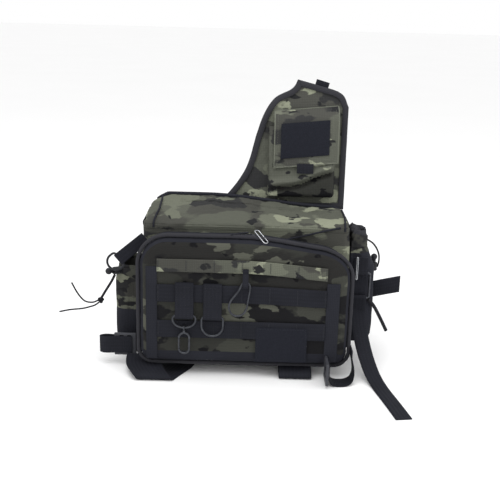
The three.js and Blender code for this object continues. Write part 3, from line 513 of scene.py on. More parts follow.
def rounded_box(box, radii, inset, corner_steps=8, edge_steps=24):
    """Points round a box, left, right, low and high, with a radius for each corner from the low right."""
    left, right, low, high = box[0] + inset, box[1] - inset, box[2] + inset, box[3] - inset
    table = [(right, low, -1, 1, -90), (right, high, -1, -1, 0)]
    table += [(left, high, 1, -1, 90), (left, low, 1, 1, 180)]
    arcs = []
    for (x, y, sx, sy, start), radius in zip(table, radii):
        radius = max(radius - inset, 1.5)
        arcs.append(arc(x + sx * radius, y + sy * radius, radius, start, start + 90, corner_steps))
    points = []
    for i in range(4):
        start, end = Vector(arcs[i][-1]), Vector(arcs[(i + 1) % 4][0])
        points += [Vector(p) for p in arcs[i]]
        points += [start.lerp(end, k / edge_steps) for k in range(1, edge_steps)]
    return points


def worked(piece, kind, **settings):
    """Adds one modifier and applies it."""
    activate(piece)
    modifier = piece.modifiers.new(kind.title(), kind)
    for key, value in settings.items():
        setattr(modifier, key, value)
    bpy.ops.object.modifier_apply(modifier=modifier.name)


def creased(piece, move):
    """Moves each point along its own normal by so many millimetres as move gives for its place."""
    mesh = piece.data
    normals = [v.normal.copy() for v in mesh.vertices]
    for v, normal in zip(mesh.vertices, normals):
        v.co += normal * (move(v.co * 1000 - SHIFT) / 1000)
    mesh.update()


def slack(spot, size, depth, seed):
    """Inward creases of loose cloth: broad dips of one size, with finer ones half as large on them."""
    point = spot / size + Vector((seed, seed * 0.7, seed * 1.3))
    broad = noise.noise(point)
    fine = 1 - abs(noise.noise(point * 2.1 + Vector((broad, 0, broad))))
    return -depth * (0.35 + 0.35 * broad + 0.3 * fine ** 6)


def joined(pieces):
    """Joins pieces into the first of them."""
    bpy.ops.object.select_all(action="DESELECT")
    for piece in pieces:
        piece.select_set(True)
    bpy.context.view_layer.objects.active = pieces[0]
    bpy.ops.object.join()
    return pieces[0]


def two_tone(piece, materials, second):
    """Gives the piece two materials, the second on the faces whose middle the test picks."""
    for material in materials:
        piece.data.materials.append(material)
    for face in piece.data.polygons:
        face.material_index = int(second(face.center * 1000 - SHIFT))


BODY = (-145, 145, -35, 66)
BODY_RADII = (12, 30, 30, 12)
BODY_FOOT = 18
BASE_SEAM = 50
BASE_WELT = 1.5
CLOTH = 0.002
BODY_LEVELS = [
    (0, 40), (0, 27), (0, 14), (1, 8.4), (3, 5), (7, 2.4), (11, 1), (18, 0.2), (26, 0), (40, 0), (55, 0),
    (70, 0), (85, 0), (100, 0), (115, 0), (130, 0), (150, 0), (160, 0.6), (170, 1.7), (180, 3),
]
shell_rings = []
for rise, inset in BODY_LEVELS:
    shell_rings.append([(p.x, p.y, BODY_FOOT + rise) for p in rounded_box(BODY, BODY_RADII, inset)])
main_shell = skin("main_compartment", shell_rings, True, (0,))
creased(main_shell, lambda p: slack(p, 42, 2.2, 3) if 24 < p.z < 190 else 0)
worked(main_shell, "SOLIDIFY", thickness=CLOTH, offset=-1)
SHELL_CLOTHS = (camo_lid, black_cloth)
two_tone(main_shell, SHELL_CLOTHS, lambda p: p.z < BASE_SEAM)
welt_line = [Vector((p.x, p.y, BASE_SEAM)) for p in rounded_box(BODY, BODY_RADII, 0.4, 8, 16)]
base_welt = tube("base_welt", welt_line, BASE_WELT, 8, True)
two_tone(base_welt, SHELL_CLOTHS, lambda p: True)
main_shell = joined([main_shell, base_welt])
dressed(main_shell, [], ["main_shell"])

# Lid. A pillow of the printed cloth over the compartment: higher at the back left, slack at the right,
# with end panels sewn in by a black welt and a thicker welt along the back edge.
LID_INSET = 3
LID_RIM = 198.4
LID_FRONT = 12
LID_MIDDLE = 33
END_WELT, RIM_WELT, BACK_WELT = 1.4, 1.3, 3
LID_SLANT = {"left": 0.62, "right": 0.15, "front": 1, "back": 0.25}
LID_LEVELS = [
    (1.25, 47), (1.25, 43), (1.24, 38), (1.22, 32), (1.19, 26), (1.14, 20), (1.08, 15), (1, 10), (0.92, 6.4),
    (0.8, 3), (0.66, 1), (0.5, 0), (0.3, 0), (0.12, 0), (0, 0),
]
RIM_SEAM = [
    (46, -35, 185.5), (60, -35.4, 189.5), (78, -35.2, 193.5), (97, -34.2, 198.4), (113, -32.6, 202),
    (129, -31.6, 205.5),
]


def step(value):
    """A smooth rise from 0 to 1, flat on both sides."""
    share = min(max(value, 0), 1)
    return share * share * (3 - 2 * share)


def lid_height(x, y, rise):
    """How high the lid is at a point for a share of its rise, its dent and the sag at the right included."""
    share = (y - BODY[2]) / (BODY[3] - BODY[2])
    away = math.hypot(x - 60, y - 4) / 58
    dent = 4 * (1 - step(away)) * step((rise - 0.6) / 0.5)
    back = 26 - 14 * step((x + 60) / 190)
    return LID_RIM + rise * (LID_FRONT + (back - LID_FRONT) * share) - dent


def lid_outline(inset):
    """The lid's plan at one level: it slants inwards far at the front and left, and little elsewhere."""
    left = BODY[0] + LID_INSET + inset * LID_SLANT["left"]
    right = BODY[1] - LID_INSET - inset * LID_SLANT["right"]
    low = BODY[2] + LID_INSET + inset * LID_SLANT["front"]
    high = BODY[3] - LID_INSET - inset * LID_SLANT["back"]
    front = max(9 - inset * 0.3, 2)
    back = max(27 - inset * 0.4, 8)
    return rounded_box((left, right, low, high), (front, back, back, front), 0, 10, 80)


def finer(levels, parts):
    """More levels, on a smooth line through the given ones."""
    return [(p.x, p.y) for p in curve_points([(a, b, 0) for a, b in levels], parts)]


top_rise, top_inset = LID_LEVELS[0]
lid_top = lid_outline(top_inset)
lid_plans = []
for k in range(1, 8):
    plan = [Vector((p.x * (0.85 + 0.15 * k / 8), LID_MIDDLE + (p.y - LID_MIDDLE) * k / 8)) for p in lid_top]
    lid_plans.append((top_rise, plan))
lid_plans += [(rise, lid_outline(inset)) for rise, inset in finer(LID_LEVELS, 3)]
lid_rings = [[(p.x, p.y, lid_height(p.x, p.y, rise)) for p in plan] for rise, plan in lid_plans]
top_lid = skin("lid_pillow", lid_rings, True, (0,))


def lid_crease(p):
    """Loose creases, and two long folds that run from the middle of the lid to its right end."""
    if p.z < 203:
        return 0
    fold = 2.2 * math.exp(-((p.y - 22 + 0.16 * (p.x - 20)) / 5) ** 2) * step((p.x + 5) / 40)
    fold += 1.8 * math.exp(-((p.x - 8 - 0.5 * p.y) / 6) ** 2) * step((40 - p.y) / 30)
    return slack(p, 34, 4.6, 7) + slack(p, 15, 2.2, 29) - fold + 1.8


creased(top_lid, lid_crease)
worked(top_lid, "SOLIDIFY", thickness=CLOTH, offset=-1)
two_tone(top_lid, SHELL_CLOTHS, lambda p: False)


def lid_line(points, lift):
    """A line laid over the lid through plan points, each with its share of the lid's rise."""
    return [Vector((x, y, lid_height(x, y, rise) + lift)) for x, y, rise in points]


# Parts of a lid outline, which starts at the front right corner and has 90 points a side.
RIGHT_END, BACK_EDGE, LEFT_END = slice(16, 94, 6), slice(94, 187), slice(264, 186, -6)
seams = []
end_rise, end_inset = LID_LEVELS[3]
top_edge = lid_outline(end_inset)
for x, shift, run in ((-127, 5, top_edge[LEFT_END]), (135, 2, top_edge[RIGHT_END])):
    edge = []
    for rise, inset in reversed(LID_LEVELS[3:-1]):
        edge.append((x + shift * inset / end_inset, BODY[2] + LID_INSET + inset, rise))
    edge += [(p.x, p.y, end_rise) for p in run]
    seams.append(tube("end_welt", curve_points(lid_line(edge, 0.4), 2), END_WELT, 8))
# A black welt under the lid's front edge: a seam, whose black also paints the shadow line along that edge.
seams.append(tube("rim_welt_shadow_line", curve_points(RIM_SEAM, 6), RIM_WELT, 8))
for rise, inset in ((1.16, 22), (1.07, 14)):
    back_row = lid_line([(p.x, p.y, rise) for p in lid_outline(inset)[BACK_EDGE]], 1.4)
    for sunk, k in enumerate((4, 3, 2, 1)):
        back_row[sunk].z -= k
        back_row[-1 - sunk].z -= k
    seams.append(tube("back_welt", back_row, BACK_WELT, 10))
for seam in seams:
    two_tone(seam, SHELL_CLOTHS, lambda p: True)
top_lid = joined([top_lid, *seams])
dressed(top_lid, [], ["top_lid"])

# Lid zip. Black woven tape runs round the sides and the back of the rim, where the lid closes on the
# compartment; the lid's edge covers its coil.
LID_ZIP_HEIGHT = 202
LID_ZIP_WIDE = 6
ZIP_THICK = 1.3


def three_sides(box, radii, inset, corner_steps, edge_steps):
    """The right, high and left sides of a rounded box, without its low side."""
    loop = rounded_box(box, radii, inset, corner_steps, edge_steps)
    return loop[corner_steps + 1:3 * (corner_steps + edge_steps) - 1]


lid_zip_plan = three_sides(BODY, BODY_RADII, LID_INSET - 1.1, 8, 16)
lid_zip_line = [Vector((p.x, p.y, LID_ZIP_HEIGHT)) for p in lid_zip_plan]
lid_zip = strap("lid_zip_tape", lid_zip_line, (0, 0, 1), LID_ZIP_WIDE, ZIP_THICK)
dressed(lid_zip, [black_cloth], ["lid_zip"])

# Padded back. Foam under black spacer mesh, quilted in three fields by two sewn channels, so that it
# lies on the wearer's side; it is hidden in the photo.
BACK = (-135, 135, 28, 206)
BACK_RADII = (30, 24, 24, 30)
BACK_LEVELS = [(67.4, 8), (68, 3), (70, 1), (73, 1), (74.4, 3), (75, 8)]
BACK_CHANNELS = (-52, 52)
BACK_CROSSING = 172
SETTLING = 20


def puffed(piece, voxel, pressure, cap, sewn):
    """Blows a closed pad up like stuffed cloth; sewn points stay, and none moves further than the cap."""
    activate(piece)
    piece.data.remesh_voxel_size = voxel / 1000
    bpy.ops.object.voxel_remesh()
    rest = [v.co.copy() for v in piece.data.vertices]
    seam = piece.vertex_groups.new(name="sewn")
    seam.add([v.index for v in piece.data.vertices if sewn(v.co * 1000 - SHIFT)], 1.0, "REPLACE")
    cloth = piece.modifiers.new("Cloth", "CLOTH")
    cloth.settings.vertex_group_mass = seam.name
    cloth.settings.use_pressure = True
    cloth.settings.uniform_pressure_force = pressure
    cloth.settings.effector_weights.gravity = 0
    cloth.settings.tension_stiffness = 15
    cloth.settings.bending_stiffness = 0.5
    for moment in range(1, SETTLING + 1):
        bpy.context.scene.frame_set(moment)
    activate(piece)
    bpy.ops.object.modifier_apply(modifier=cloth.name)
    bpy.context.scene.frame_set(1)
    for v, start in zip(piece.data.vertices, rest):
        way = v.co - start
        if way.length > cap / 1000:
            v.co = start + way.normalized() * (cap / 1000)
    worked(piece, "SUBSURF", levels=1, render_levels=1)
    piece.data.uv_layers.new(name="UVMap")


def flat_uv(piece, along, up):
    """Lays the UV over a pad as seen from its face, in metres."""
    mesh = piece.data
    layer = mesh.uv_layers["UVMap"]
    for loop in mesh.loops:
        spot = mesh.vertices[loop.vertex_index].co
        layer.data[loop.index].uv = (spot[along], spot[up])


# Spacer mesh: a knitted face with rows of small open cells over dark foam.
MESH_CELL = 0.0045
spacer, spacer_tree, spacer_shader = new_finish("spacer_mesh", {"Roughness": 0.9, "Specular IOR Level": 0.1})
spacer_flat = node(spacer_tree, "TexCoord").outputs["UV"]
spacer_grid = {"Vector": spacer_flat, "Scale": 1 / MESH_CELL, "Randomness": 0.15}
spacer_cells = node(spacer_tree, "TexVoronoi", spacer_grid)
spacer_hole = node(spacer_tree, "MapRange", {0: spacer_cells.outputs[0], 1: 0.2, 2: 0.42}).outputs[0]
relief(spacer_tree, spacer_shader, spacer_hole, ("#141417", "#35363c"), 0.7, 0.001)

pad_rings = []
for depth, inset in BACK_LEVELS:
    pad_rings.append([(p.x, depth, p.y) for p in rounded_box(BACK, BACK_RADII, inset, 6, 20)])
back_panel = skin("padded_back", pad_rings, True, (0, -1))
puffed(back_panel, 5, 3, 5, lambda p: p.y < 70 or abs(p.x) > 127 or not 36 < p.z < 198)


def back_quilt(p):
    """Two upright channels and one across the top, where the mesh is sewn down to the shell."""
    if p.y < 72:
        return 0
    dip = sum(math.exp(-((p.x - x) / 5) ** 2) for x in BACK_CHANNELS)
    return -4 * min(dip + math.exp(-((p.z - BACK_CROSSING) / 5) ** 2), 1)


creased(back_panel, back_quilt)
flat_uv(back_panel, 0, 2)
dressed(back_panel, [spacer], ["back_panel"])

# Front pocket. A flat arched pocket of printed cloth on a black gusset, its right shoulder slumped. Black
# tape covers both sides of its face, and the foot of the face is black.
FRONT = (-142, 142, 20, 196)
FRONT_RADII = (18, 42, 38, 18)
FACE = -75
FRONT_DROOP = 17
FRONT_FOOT = 37
SIDE_TAPES = [(-125.5, 15, 158), (119, 18, 146)]
TAPE_FOOT = 26
FRONT_LEVELS = [
    (39.6, 0), (34, 0), (28, 0), (22, 0), (16, 0), (11, 0), (8, 0), (5, 1.1), (2.5, 3), (0.8, 6), (0, 9),
    (0, 13), (0, 17), (0, 23), (0, 29), (0, 36), (0, 44), (0, 52), (0, 60), (0, 68), (0, 76), (0, 84),
]
# A darker copy of the print: its tint paints the shade on the upright front of the pocket, and below the fold
# of the phone pocket.
camo_front_painted_shade = camouflage("printed_polyester_front_painted_shade", (0.12, 0.18, 0.02), (0.34, 0.325, 0.36))


def drooped(x, z):
    """How the pocket sinks towards its right shoulder, most at the top."""
    share = min(max((z - FRONT[2]) / (FRONT[3] - FRONT[2]), 0), 1)
    return z - FRONT_DROOP * step((x + 10) / 160) * share ** 2.3


front_rings = [
    [(p.x, FACE + rise, drooped(p.x, p.y)) for p in rounded_box(FRONT, FRONT_RADII, inset, 10, 80)]
    for rise, inset in finer(FRONT_LEVELS, 2)
]
front_pocket = skin("front_pocket_cloth", front_rings, True, (-1,))
creased(front_pocket, lambda p: slack(p, 30, 2.0, 11) if p.y < FACE + 1 else slack(p, 26, 1.2, 2))
worked(front_pocket, "SOLIDIFY", thickness=CLOTH, offset=-1)
FRONT_CLOTHS = (camo_front_painted_shade, black_cloth)
two_tone(front_pocket, FRONT_CLOTHS, lambda p: p.y > FACE + 2.2 or p.z < FRONT_FOOT)
tapes = []
for x, width, top in SIDE_TAPES:
    heights = [TAPE_FOOT + (top - TAPE_FOOT) * k / 12 for k in range(13)]
    line = [Vector((x, FACE - 0.5, drooped(x, z))) for z in heights]
    tapes.append(strap("side_tape", line, (1, 0, 0), width, 1.0))
    two_tone(tapes[-1], FRONT_CLOTHS, lambda p: True)
front_pocket = joined([front_pocket, *tapes])
dressed(front_pocket, [], ["front_pocket"])

# Arch of the front pocket. A cord covered with black cloth is sewn round the face, and the zip with its
# coil runs over the gusset behind it.
PIPING_DEPTH = -66
PIPING_RADIUS = 2.7
ZIP_DEPTH = -54
ZIP_WIDE = 9
COIL_PITCH, COIL_LONG, COIL_WIDE = 2.6, 2.0, 3.2


def bars(name, rows, pitch, length, wide, crosswise=False):
    """Short spindles in rows: coils and stitches that follow their line, or bar tacks that lie across it."""
    points, faces = [], []
    for line, facing in rows:
        facing = Vector(facing)
        rest = pitch / 2
        for a, b in zip(line, line[1:]):
            reach = (b - a).length
            if reach < 1e-6:
                continue
            ahead = (b - a) / reach
            beside = ahead.cross(facing).normalized()
            main, other = (beside, ahead) if crosswise else (ahead, beside)
            while rest < reach:
                spot = a + ahead * rest
                first = len(points)
                points += [spot - main * length / 2, spot + main * length / 2]
                points += [spot + other * wide / 2, spot + facing * wide / 2]
                points += [spot - other * wide / 2, spot - facing * wide / 2]
                for k in range(4):
                    m, n = first + 2 + k, first + 2 + (k + 1) % 4
                    faces += [(first, n, m), (first + 1, m, n)]
                rest += pitch
            rest -= reach
    piece = new_piece(name, [place(*p) for p in points], [], faces)
    face_outwards(piece)
    return piece


# Polyester sewing thread and zip coil: smooth filament, darker than the webbing and a little glossy.
thread_look = {"Roughness": 0.6, "Specular IOR Level": 0.15}
thread, thread_tree, thread_shader = new_finish("sewing_thread", thread_look)
thread_tree.links.new(clouded(thread_tree, ("#222328", "#313237"), 90), thread_shader.inputs["Base Color"])

# Ribbed polyester tape that binds and pipes the edges: charcoal, a shade lighter than the black cloth.
tape = woven("edge_tape", 0.85, 0.1, ("#343438", "#3f3f44"), 26, PLAIN_WEAVE, 0.4, 0.3)

arch_loop = rounded_box(FRONT, FRONT_RADII, -2.9, 10, 30)
piping_line = [Vector((p.x, PIPING_DEPTH, drooped(p.x, p.y))) for p in arch_loop]
piping = tube("front_piping_cloth", piping_line, PIPING_RADIUS, 12, True)
creased(piping, lambda p: 0.35 * noise.noise(p / 7))
dressed(piping, [tape], ["front_piping"])
zip_arch = three_sides(FRONT, FRONT_RADII, -1.1, 8, 34)
zip_line = [Vector((p.x, ZIP_DEPTH, drooped(p.x, p.y))) for p in zip_arch]
zip_tape = strap("front_zip_tape", zip_line, (0, 1, 0), ZIP_WIDE, ZIP_THICK)
dressed(zip_tape, [tape], ["front_zip"])
coil_line = []
arch_middle = (FRONT[2] + FRONT[3]) / 2
for p, point in zip(zip_arch, zip_line):
    away = Vector((p.x, 0, p.y - arch_middle)).normalized()
    coil_line.append(point + away * 0.8)
coil = bars("front_zip_coil", [(coil_line, (0, 1, 0))], COIL_PITCH, COIL_LONG, COIL_WIDE)
dressed(coil, [thread])

# Zip sliders and pulls. Two cast sliders meet at the top of the arch, the left with a webbing pull and
# the right with a bright wire hoop; a long narrow hoop hangs before the sling tab at the right.
SLIDERS = [("left", -2, 196.7), ("right", 12, 196.1)]
PULL_HEIGHT = 201.3
HOOP_SPOT = Vector((20, -67, 199.8))
HOOP_SIZE = (7, 26, 3)
HOOP_WIRE = 0.85
SIDE_PULL_SPOT = Vector((155.2, -28.6, 147))
SIDE_PULL_SIZE = (1.8, 32, 0.85)
SIDE_PULL_WIRE = 0.7


def cast_block(name, spot, size, bevel):
    """A cast block with its lower middle at the spot and rounded edges."""
    x, y, z = spot
    bpy.ops.object.select_all(action="DESELECT")
    bpy.ops.mesh.primitive_cube_add(size=1, location=place(x, y, z + size[2] / 2))
    piece = bpy.context.object
    piece.name = name
    piece.scale = [s / 1000 for s in size]
    bpy.ops.object.transform_apply(location=True, rotation=True, scale=True)
    worked(piece, "BEVEL", width=bevel / 1000, segments=3)
    return piece


for side, x, foot in SLIDERS:
    plate = cast_block("zip_slider_" + side + "_cast", (x, ZIP_DEPTH, foot), (11, 7.6, 1.2), 0.4)
    roof = cast_block("slider_roof", (x, ZIP_DEPTH, foot + 1.7), (8, 6.4, 1.4), 0.5)
    post = cast_block("slider_post", (x + 2.6, ZIP_DEPTH, foot + 0.9), (2.4, 2.2, 1.4), 0.2)
    slider = joined([plate, roof, post])
    dressed(slider, [gunmetal], ["zip_slider_" + side])
pull_plan = [(3, -53, PULL_HEIGHT), (-8, -57, PULL_HEIGHT), (-20, -67, PULL_HEIGHT + 0.4)]
pull_line = curve_points(pull_plan, 5)
pull_left = strap("zip_pull_left_webbing", pull_line, (0, 1, 0), 5)
dressed(pull_left, [webbing], ["zip_pull_left"])

# Steel wire with a bright nickel plate, drawn smooth, so that it mirrors the room softly.
steel, steel_tree, steel_shader = new_finish("bright_nickel_wire", {"Metallic": 1.0, "Roughness": 0.22})
steel_tree.links.new(clouded(steel_tree, ("#8e9094", "#b9bbbe"), 300), steel_shader.inputs["Base Color"])


def hoop(width, height, radius):
    """A long rounded loop in the X and Z plane, round the origin."""
    points = []
    for x, z, start in ((1, -1, -90), (1, 1, 0), (-1, 1, 90), (-1, -1, 180)):
        points += arc(x * (width / 2 - radius), z * (height / 2 - radius), radius, start, start + 90, 5)
    return points


hoop_turn = Matrix.Rotation(math.radians(38), 3, "Z") @ Matrix.Rotation(math.radians(118), 3, "X")
hoop_points = upright(HOOP_SPOT, hoop(*HOOP_SIZE), hoop_turn)
pull_right = bent_wire("zip_pull_right_wire", hoop_points, HOOP_WIRE, True)
dressed(pull_right, [steel], ["zip_pull_right"])
side_points = upright(SIDE_PULL_SPOT, hoop(*SIDE_PULL_SIZE))
side_pull = bent_wire("side_pull_wire", side_points, SIDE_PULL_WIRE, True)
dressed(side_pull, [steel], ["side_pull"])

# Rows across the front. A folded band of the printed cloth and two rows of webbing are tacked down at
# even steps, so that clips hook in between; a soft loop patch lies over the lower row.
WEB_WIDE = 25
# The band takes the lid's lighter copy of the print, so it reads lighter than the pocket face behind it:
# partly its own lighter print, partly painted light on its raised fold.
ROWS = [
    {"name": "camo_band", "z": 160, "width": 18, "slot": "camo", "finish": camo_lid},
    {"name": "webbing_upper", "z": 121, "width": WEB_WIDE, "slot": "webbing", "finish": webbing},
    {"name": "webbing_lower", "z": 70, "width": WEB_WIDE, "slot": "webbing", "finish": webbing},
]
ROW_LEFT, ROW_RIGHT = -118, 110
ROW_STEPS = 60
TACKS = 6
TACK_PITCH, TACK_LONG, TACK_THICK = 1.3, 2.6, 0.7
STITCH_PITCH, STITCH_LONG, STITCH_THICK = 3.4, 2.6, 0.6
PATCH_WIDE, PATCH_TALL, PATCH_SEAM = 70, 50, 2.4
PATCH_CLOTH = 0.0007
PATCH_STITCH = 0.55
tacks = []
for row in ROWS:
    line = []
    for k in range(ROW_STEPS + 1):
        x = ROW_LEFT + (ROW_RIGHT - ROW_LEFT) * k / ROW_STEPS
        bulge = 0.35 * math.sin(math.pi * TACKS * k / ROW_STEPS) ** 2
        line.append(Vector((x, FACE - 1.2 - bulge, drooped(x, row["z"]))))
    band = strap(row["name"] + "_cloth", line, (0, 0, 1), row["width"])
    dressed(band, [row["finish"]], [row["name"]])
    for k in range(TACKS + 1):
        x = ROW_LEFT + 1.5 + (ROW_RIGHT - ROW_LEFT - 3) * k / TACKS
        z = drooped(x, row["z"])
        reach = row["width"] / 2 - 2
        tack = [Vector((x, FACE - 2.0, z - reach)), Vector((x, FACE - 2.0, z + reach))]
        tacks.append((tack, (0, -1, 0)))
row_tacks = bars("row_tacks", tacks, TACK_PITCH, TACK_LONG, TACK_THICK, True)
dressed(row_tacks, [thread])

# Loop pile: a napped knit of fine loops that scatters the light, so it looks soft and even.
PILE_LOOP = 0.0012
pile, pile_tree, pile_shader = new_finish("loop_pile", {"Roughness": 1.0, "Specular IOR Level": 0.08})
pile_spot = node(pile_tree, "TexCoord").outputs["Object"]
pile_nap = {"Vector": pile_spot, "Scale": 1 / PILE_LOOP, "Detail": 2}
pile_loops = node(pile_tree, "TexNoise", pile_nap).outputs[0]
relief(pile_tree, pile_shader, pile_loops, ("#181a1f", "#2a2b33"), 0.8, 0.0008)


def loop_patch(name, node_name, spot_at):
    """A patch of loop pile with a sewn edge; spot_at turns its own X, Y and Z into a place on the bag."""
    rows = []
    for i in range(31):
        z = -PATCH_TALL / 2 + PATCH_TALL * i / 30
        row = []
        for k in range(43):
            x = -PATCH_WIDE / 2 + PATCH_WIDE * k / 42
            edge = min(PATCH_WIDE / 2 - abs(x), PATCH_TALL / 2 - abs(z))
            nap = 0.3 * noise.noise(Vector((x / 2.1, z / 2.1, 3)))
            seam = 0.35 * math.exp(-((edge - PATCH_SEAM) / 0.9) ** 2)
            row.append(spot_at(x, -0.7 - (0.5 + nap) * step(edge / 1.5) + seam, z))
        rows.append(row)
    piece = skin(name, rows, False)
    worked(piece, "SOLIDIFY", thickness=PATCH_CLOTH, offset=-1)
    frame_line = [(-1, -1), (1, -1), (1, 1), (-1, 1), (-1, -1)]
    half_wide, half_tall = PATCH_WIDE / 2 - PATCH_SEAM, PATCH_TALL / 2 - PATCH_SEAM
    corners = [spot_at(a * half_wide, -1.0, b * half_tall) for a, b in frame_line]
    facing = Vector(spot_at(0, -1, 0)) - Vector(spot_at(0, 0, 0))
    seam_rows = [([Vector(c) for c in corners], facing)]
    sewn = bars(name + "_seam", seam_rows, STITCH_PITCH, STITCH_LONG, PATCH_STITCH)
    dressed(piece, [pile], [node_name])
    dressed(sewn, [thread])


loop_patch("front_patch_pile", "loop_patch_front", lambda x, y, z: (51 + x, FACE - 2.4 + y, 50 + z))

# Front hardware. Two folds of webbing hold dark D-rings; a swivel snap hangs from the left ring, and a
# pear-shaped carabiner hangs in a small loop to the right of them.
ROW_FACE = FACE - 2
FRONT_EYE = 3
TABS = [
    {"side": "left", "x": -81, "z": 91, "half": 15.5, "drop": 17},
    {"side": "right", "x": -43, "z": 90, "half": 14.5, "drop": 27},
]
TAB_TALL = 46
EYE_DEPTH = ROW_FACE - 0.4 - FRONT_EYE - WEB
BOX_STITCH = [(-10, 14), (10, 14), (10, 40), (-10, 40), (-10, 14), (10, 40), (-10, 40), (10, 14)]


def d_ring_line(half, drop):
    """A straight bar with two rounded corners and a bow below it, in X and Z."""
    bow = min(half, drop - 5)
    line = [(4 - half + (half - 4) * 2 * k / 6, 0) for k in range(6)] + arc(half - 4, -4, 4, 90, 0, 6)
    sweep = [math.radians(-180 * k / 24) for k in range(25)]
    line += [(half * math.cos(a), bow - drop + bow * math.sin(a)) for a in sweep]
    return line + arc(4 - half, -4, 4, 180, 90, 6)[:-1]


tab_seams = []
for tab in TABS:
    spot = Vector((tab["x"], EYE_DEPTH, tab["z"]))
    piece = folded_tab("tab_" + tab["side"] + "_webbing", spot, TAB_TALL, WEB_WIDE, FRONT_EYE)
    dressed(piece, [webbing], ["tab_" + tab["side"]])
    ring_points = upright(spot, d_ring_line(tab["half"], tab["drop"]))
    ring = bent_wire("d_ring_" + tab["side"] + "_wire", ring_points, RING_WIRE, True)
    dressed(ring, [gunmetal], ["d_ring_" + tab["side"]], "ring_" + tab["side"])
    seam_depth = FRONT_EYE - WEB - 0.15
    tab_seams.append(([spot + Vector((x, seam_depth, z)) for x, z in BOX_STITCH], (0, -1, 0)))
tab_stitches = bars("tab_stitches", tab_seams, STITCH_PITCH, STITCH_LONG, STITCH_THICK)
dressed(tab_stitches, [thread])

HOOK_EYE = 3.3
HOOK_BEND = 7
EYE_WIRE, HOOK_WIRE, HOOK_GATE_WIRE = 1.1, 1.6, 1.3
NECK_RADIUS, NECK_LONG, NECK_DROP = 0.0019, 0.005, 0.0058
hook_spot = Vector((TABS[0]["x"], EYE_DEPTH, TABS[0]["z"] - TABS[0]["drop"]))
eye_points = [hook_spot + Vector((0, y, z)) for y, z in arc(0, 0, HOOK_EYE, 0, 360, 24)[:-1]]
hook_eye = bent_wire("snap_hook_cast", eye_points, EYE_WIRE, True)
bpy.ops.object.select_all(action="DESELECT")
neck_spot = place(*hook_spot) - Vector((0, 0, NECK_DROP))
bpy.ops.mesh.primitive_cylinder_add(vertices=24, radius=NECK_RADIUS, depth=NECK_LONG, location=neck_spot)
hook_neck = bpy.context.object
bpy.ops.object.transform_apply(location=True, rotation=True, scale=True)
worked(hook_neck, "BEVEL", width=0.0005, segments=3)
hook_line = arc(0, -14.5, HOOK_BEND, 180, 0, 14) + arc(0, -30, HOOK_BEND, 0, -180, 14)
hook_bow = bent_wire("hook_bow", upright(hook_spot, hook_line), HOOK_WIRE)
hook = joined([hook_eye, hook_neck, hook_bow])
dressed(hook, [gunmetal], ["snap_hook"], "hook")
gate_points = [hook_spot + Vector((-HOOK_BEND, 0, z)) for z in (-29.2, -22, -15.3)]
hook_gate = bent_wire("snap_gate_bar", gate_points, HOOK_GATE_WIRE)
dressed(hook_gate, [gunmetal], ["snap_gate"], "hook_gate")

CLIP_EYE = 4.2
CLIP_WIRE, CLIP_GATE_WIRE = 1.5, 1.15
CLIP_LINE = [
    (6.4, -7), (5.6, -1.5), (3, 1.5), (0, 2.4), (-3, 1.3), (-5.6, -2.5), (-8.5, -9), (-19.5, -25),
    (-21.5, -34), (-18, -42), (-10, -45.5), (-2, -42), (2.6, -33.5),
]
clip_spot = Vector((0.5, ROW_FACE - 0.4 - CLIP_EYE - WEB, 138.5))
clip_loop = folded_tab("carabiner_loop_webbing", clip_spot, 19, 8, CLIP_EYE)
dressed(clip_loop, [webbing], ["carabiner_loop"])
clip_points = curve_points(upright(clip_spot, CLIP_LINE), 6)
clip = bent_wire("carabiner_wire", clip_points, CLIP_WIRE)
dressed(clip, [gunmetal], ["carabiner"], "clip")
gate_low, gate_high = clip_points[-1], clip_points[0]
gate_way = (gate_high - gate_low).normalized() * 0.8
gate_ends = [gate_low + gate_way, gate_high - gate_way]
clip_gate = bent_wire("carabiner_gate_bar", gate_ends, CLIP_GATE_WIRE)
dressed(clip_gate, [gunmetal], ["carabiner_gate"], "clip_gate")

# Side pouches. Tall sleeves of printed cloth on both ends, black at the foot, drawn in at the top by a
# cord; the right one has a collar of thin black cloth that gathers in small pleats.
# The right pouch's black reaches far above a foot like the left's; above such a foot it is a painted shade on
# that side.
POUCHES = [
    {"side": "left", "sign": -1, "far": 186, "low": -22, "high": 54, "base": 22, "black_foot_and_shade": 74, "slant": 1,
     "lock": (-178, -15, 132),
     "levels": [(0, 20), (0, 9), (1.6, 5.4), (4, 3), (8, 1), (14, 0), (26, 0), (40, 0), (54, 0), (68, 0),
                (82, 0), (96, 0), (104, 1.4), (110, 2.8), (113, 3.6), (114, 4.6), (115.5, 3.4), (118, 5)]},
    {"side": "right", "sign": 1, "far": 186, "low": -20, "high": 52, "base": 30, "black_foot_and_shade": 164, "slant": 1.7,
     "lock": (186, 38, 132),
     "levels": [(0, 20), (0, 9), (1.6, 5.4), (4, 3), (8, 1), (14, 0), (30, 0.2), (46, 0.3), (62, 0.5),
                (78, 0.7), (94, 0.8), (106, 0.6), (114, 0.9), (120, 2.4), (126, 3.8), (132, 4.9), (138, 6.2),
                (142, 7)]},
]
NEAR = 145.8
GATHERS = 13
POUCH_CLOTH, COLLAR_CLOTH = 0.0016, 0.0011
DRAWN_IN = 34
STRIP_EDGE, STRIP_TOP = -152, 108
# A darker copy of the print: its tint paints the shade on the side pouches and the collar.
camo_side_painted_shade = camouflage("printed_polyester_side_painted_shade", (0.31, 0.02, 0.11), (0.62, 0.60, 0.62))


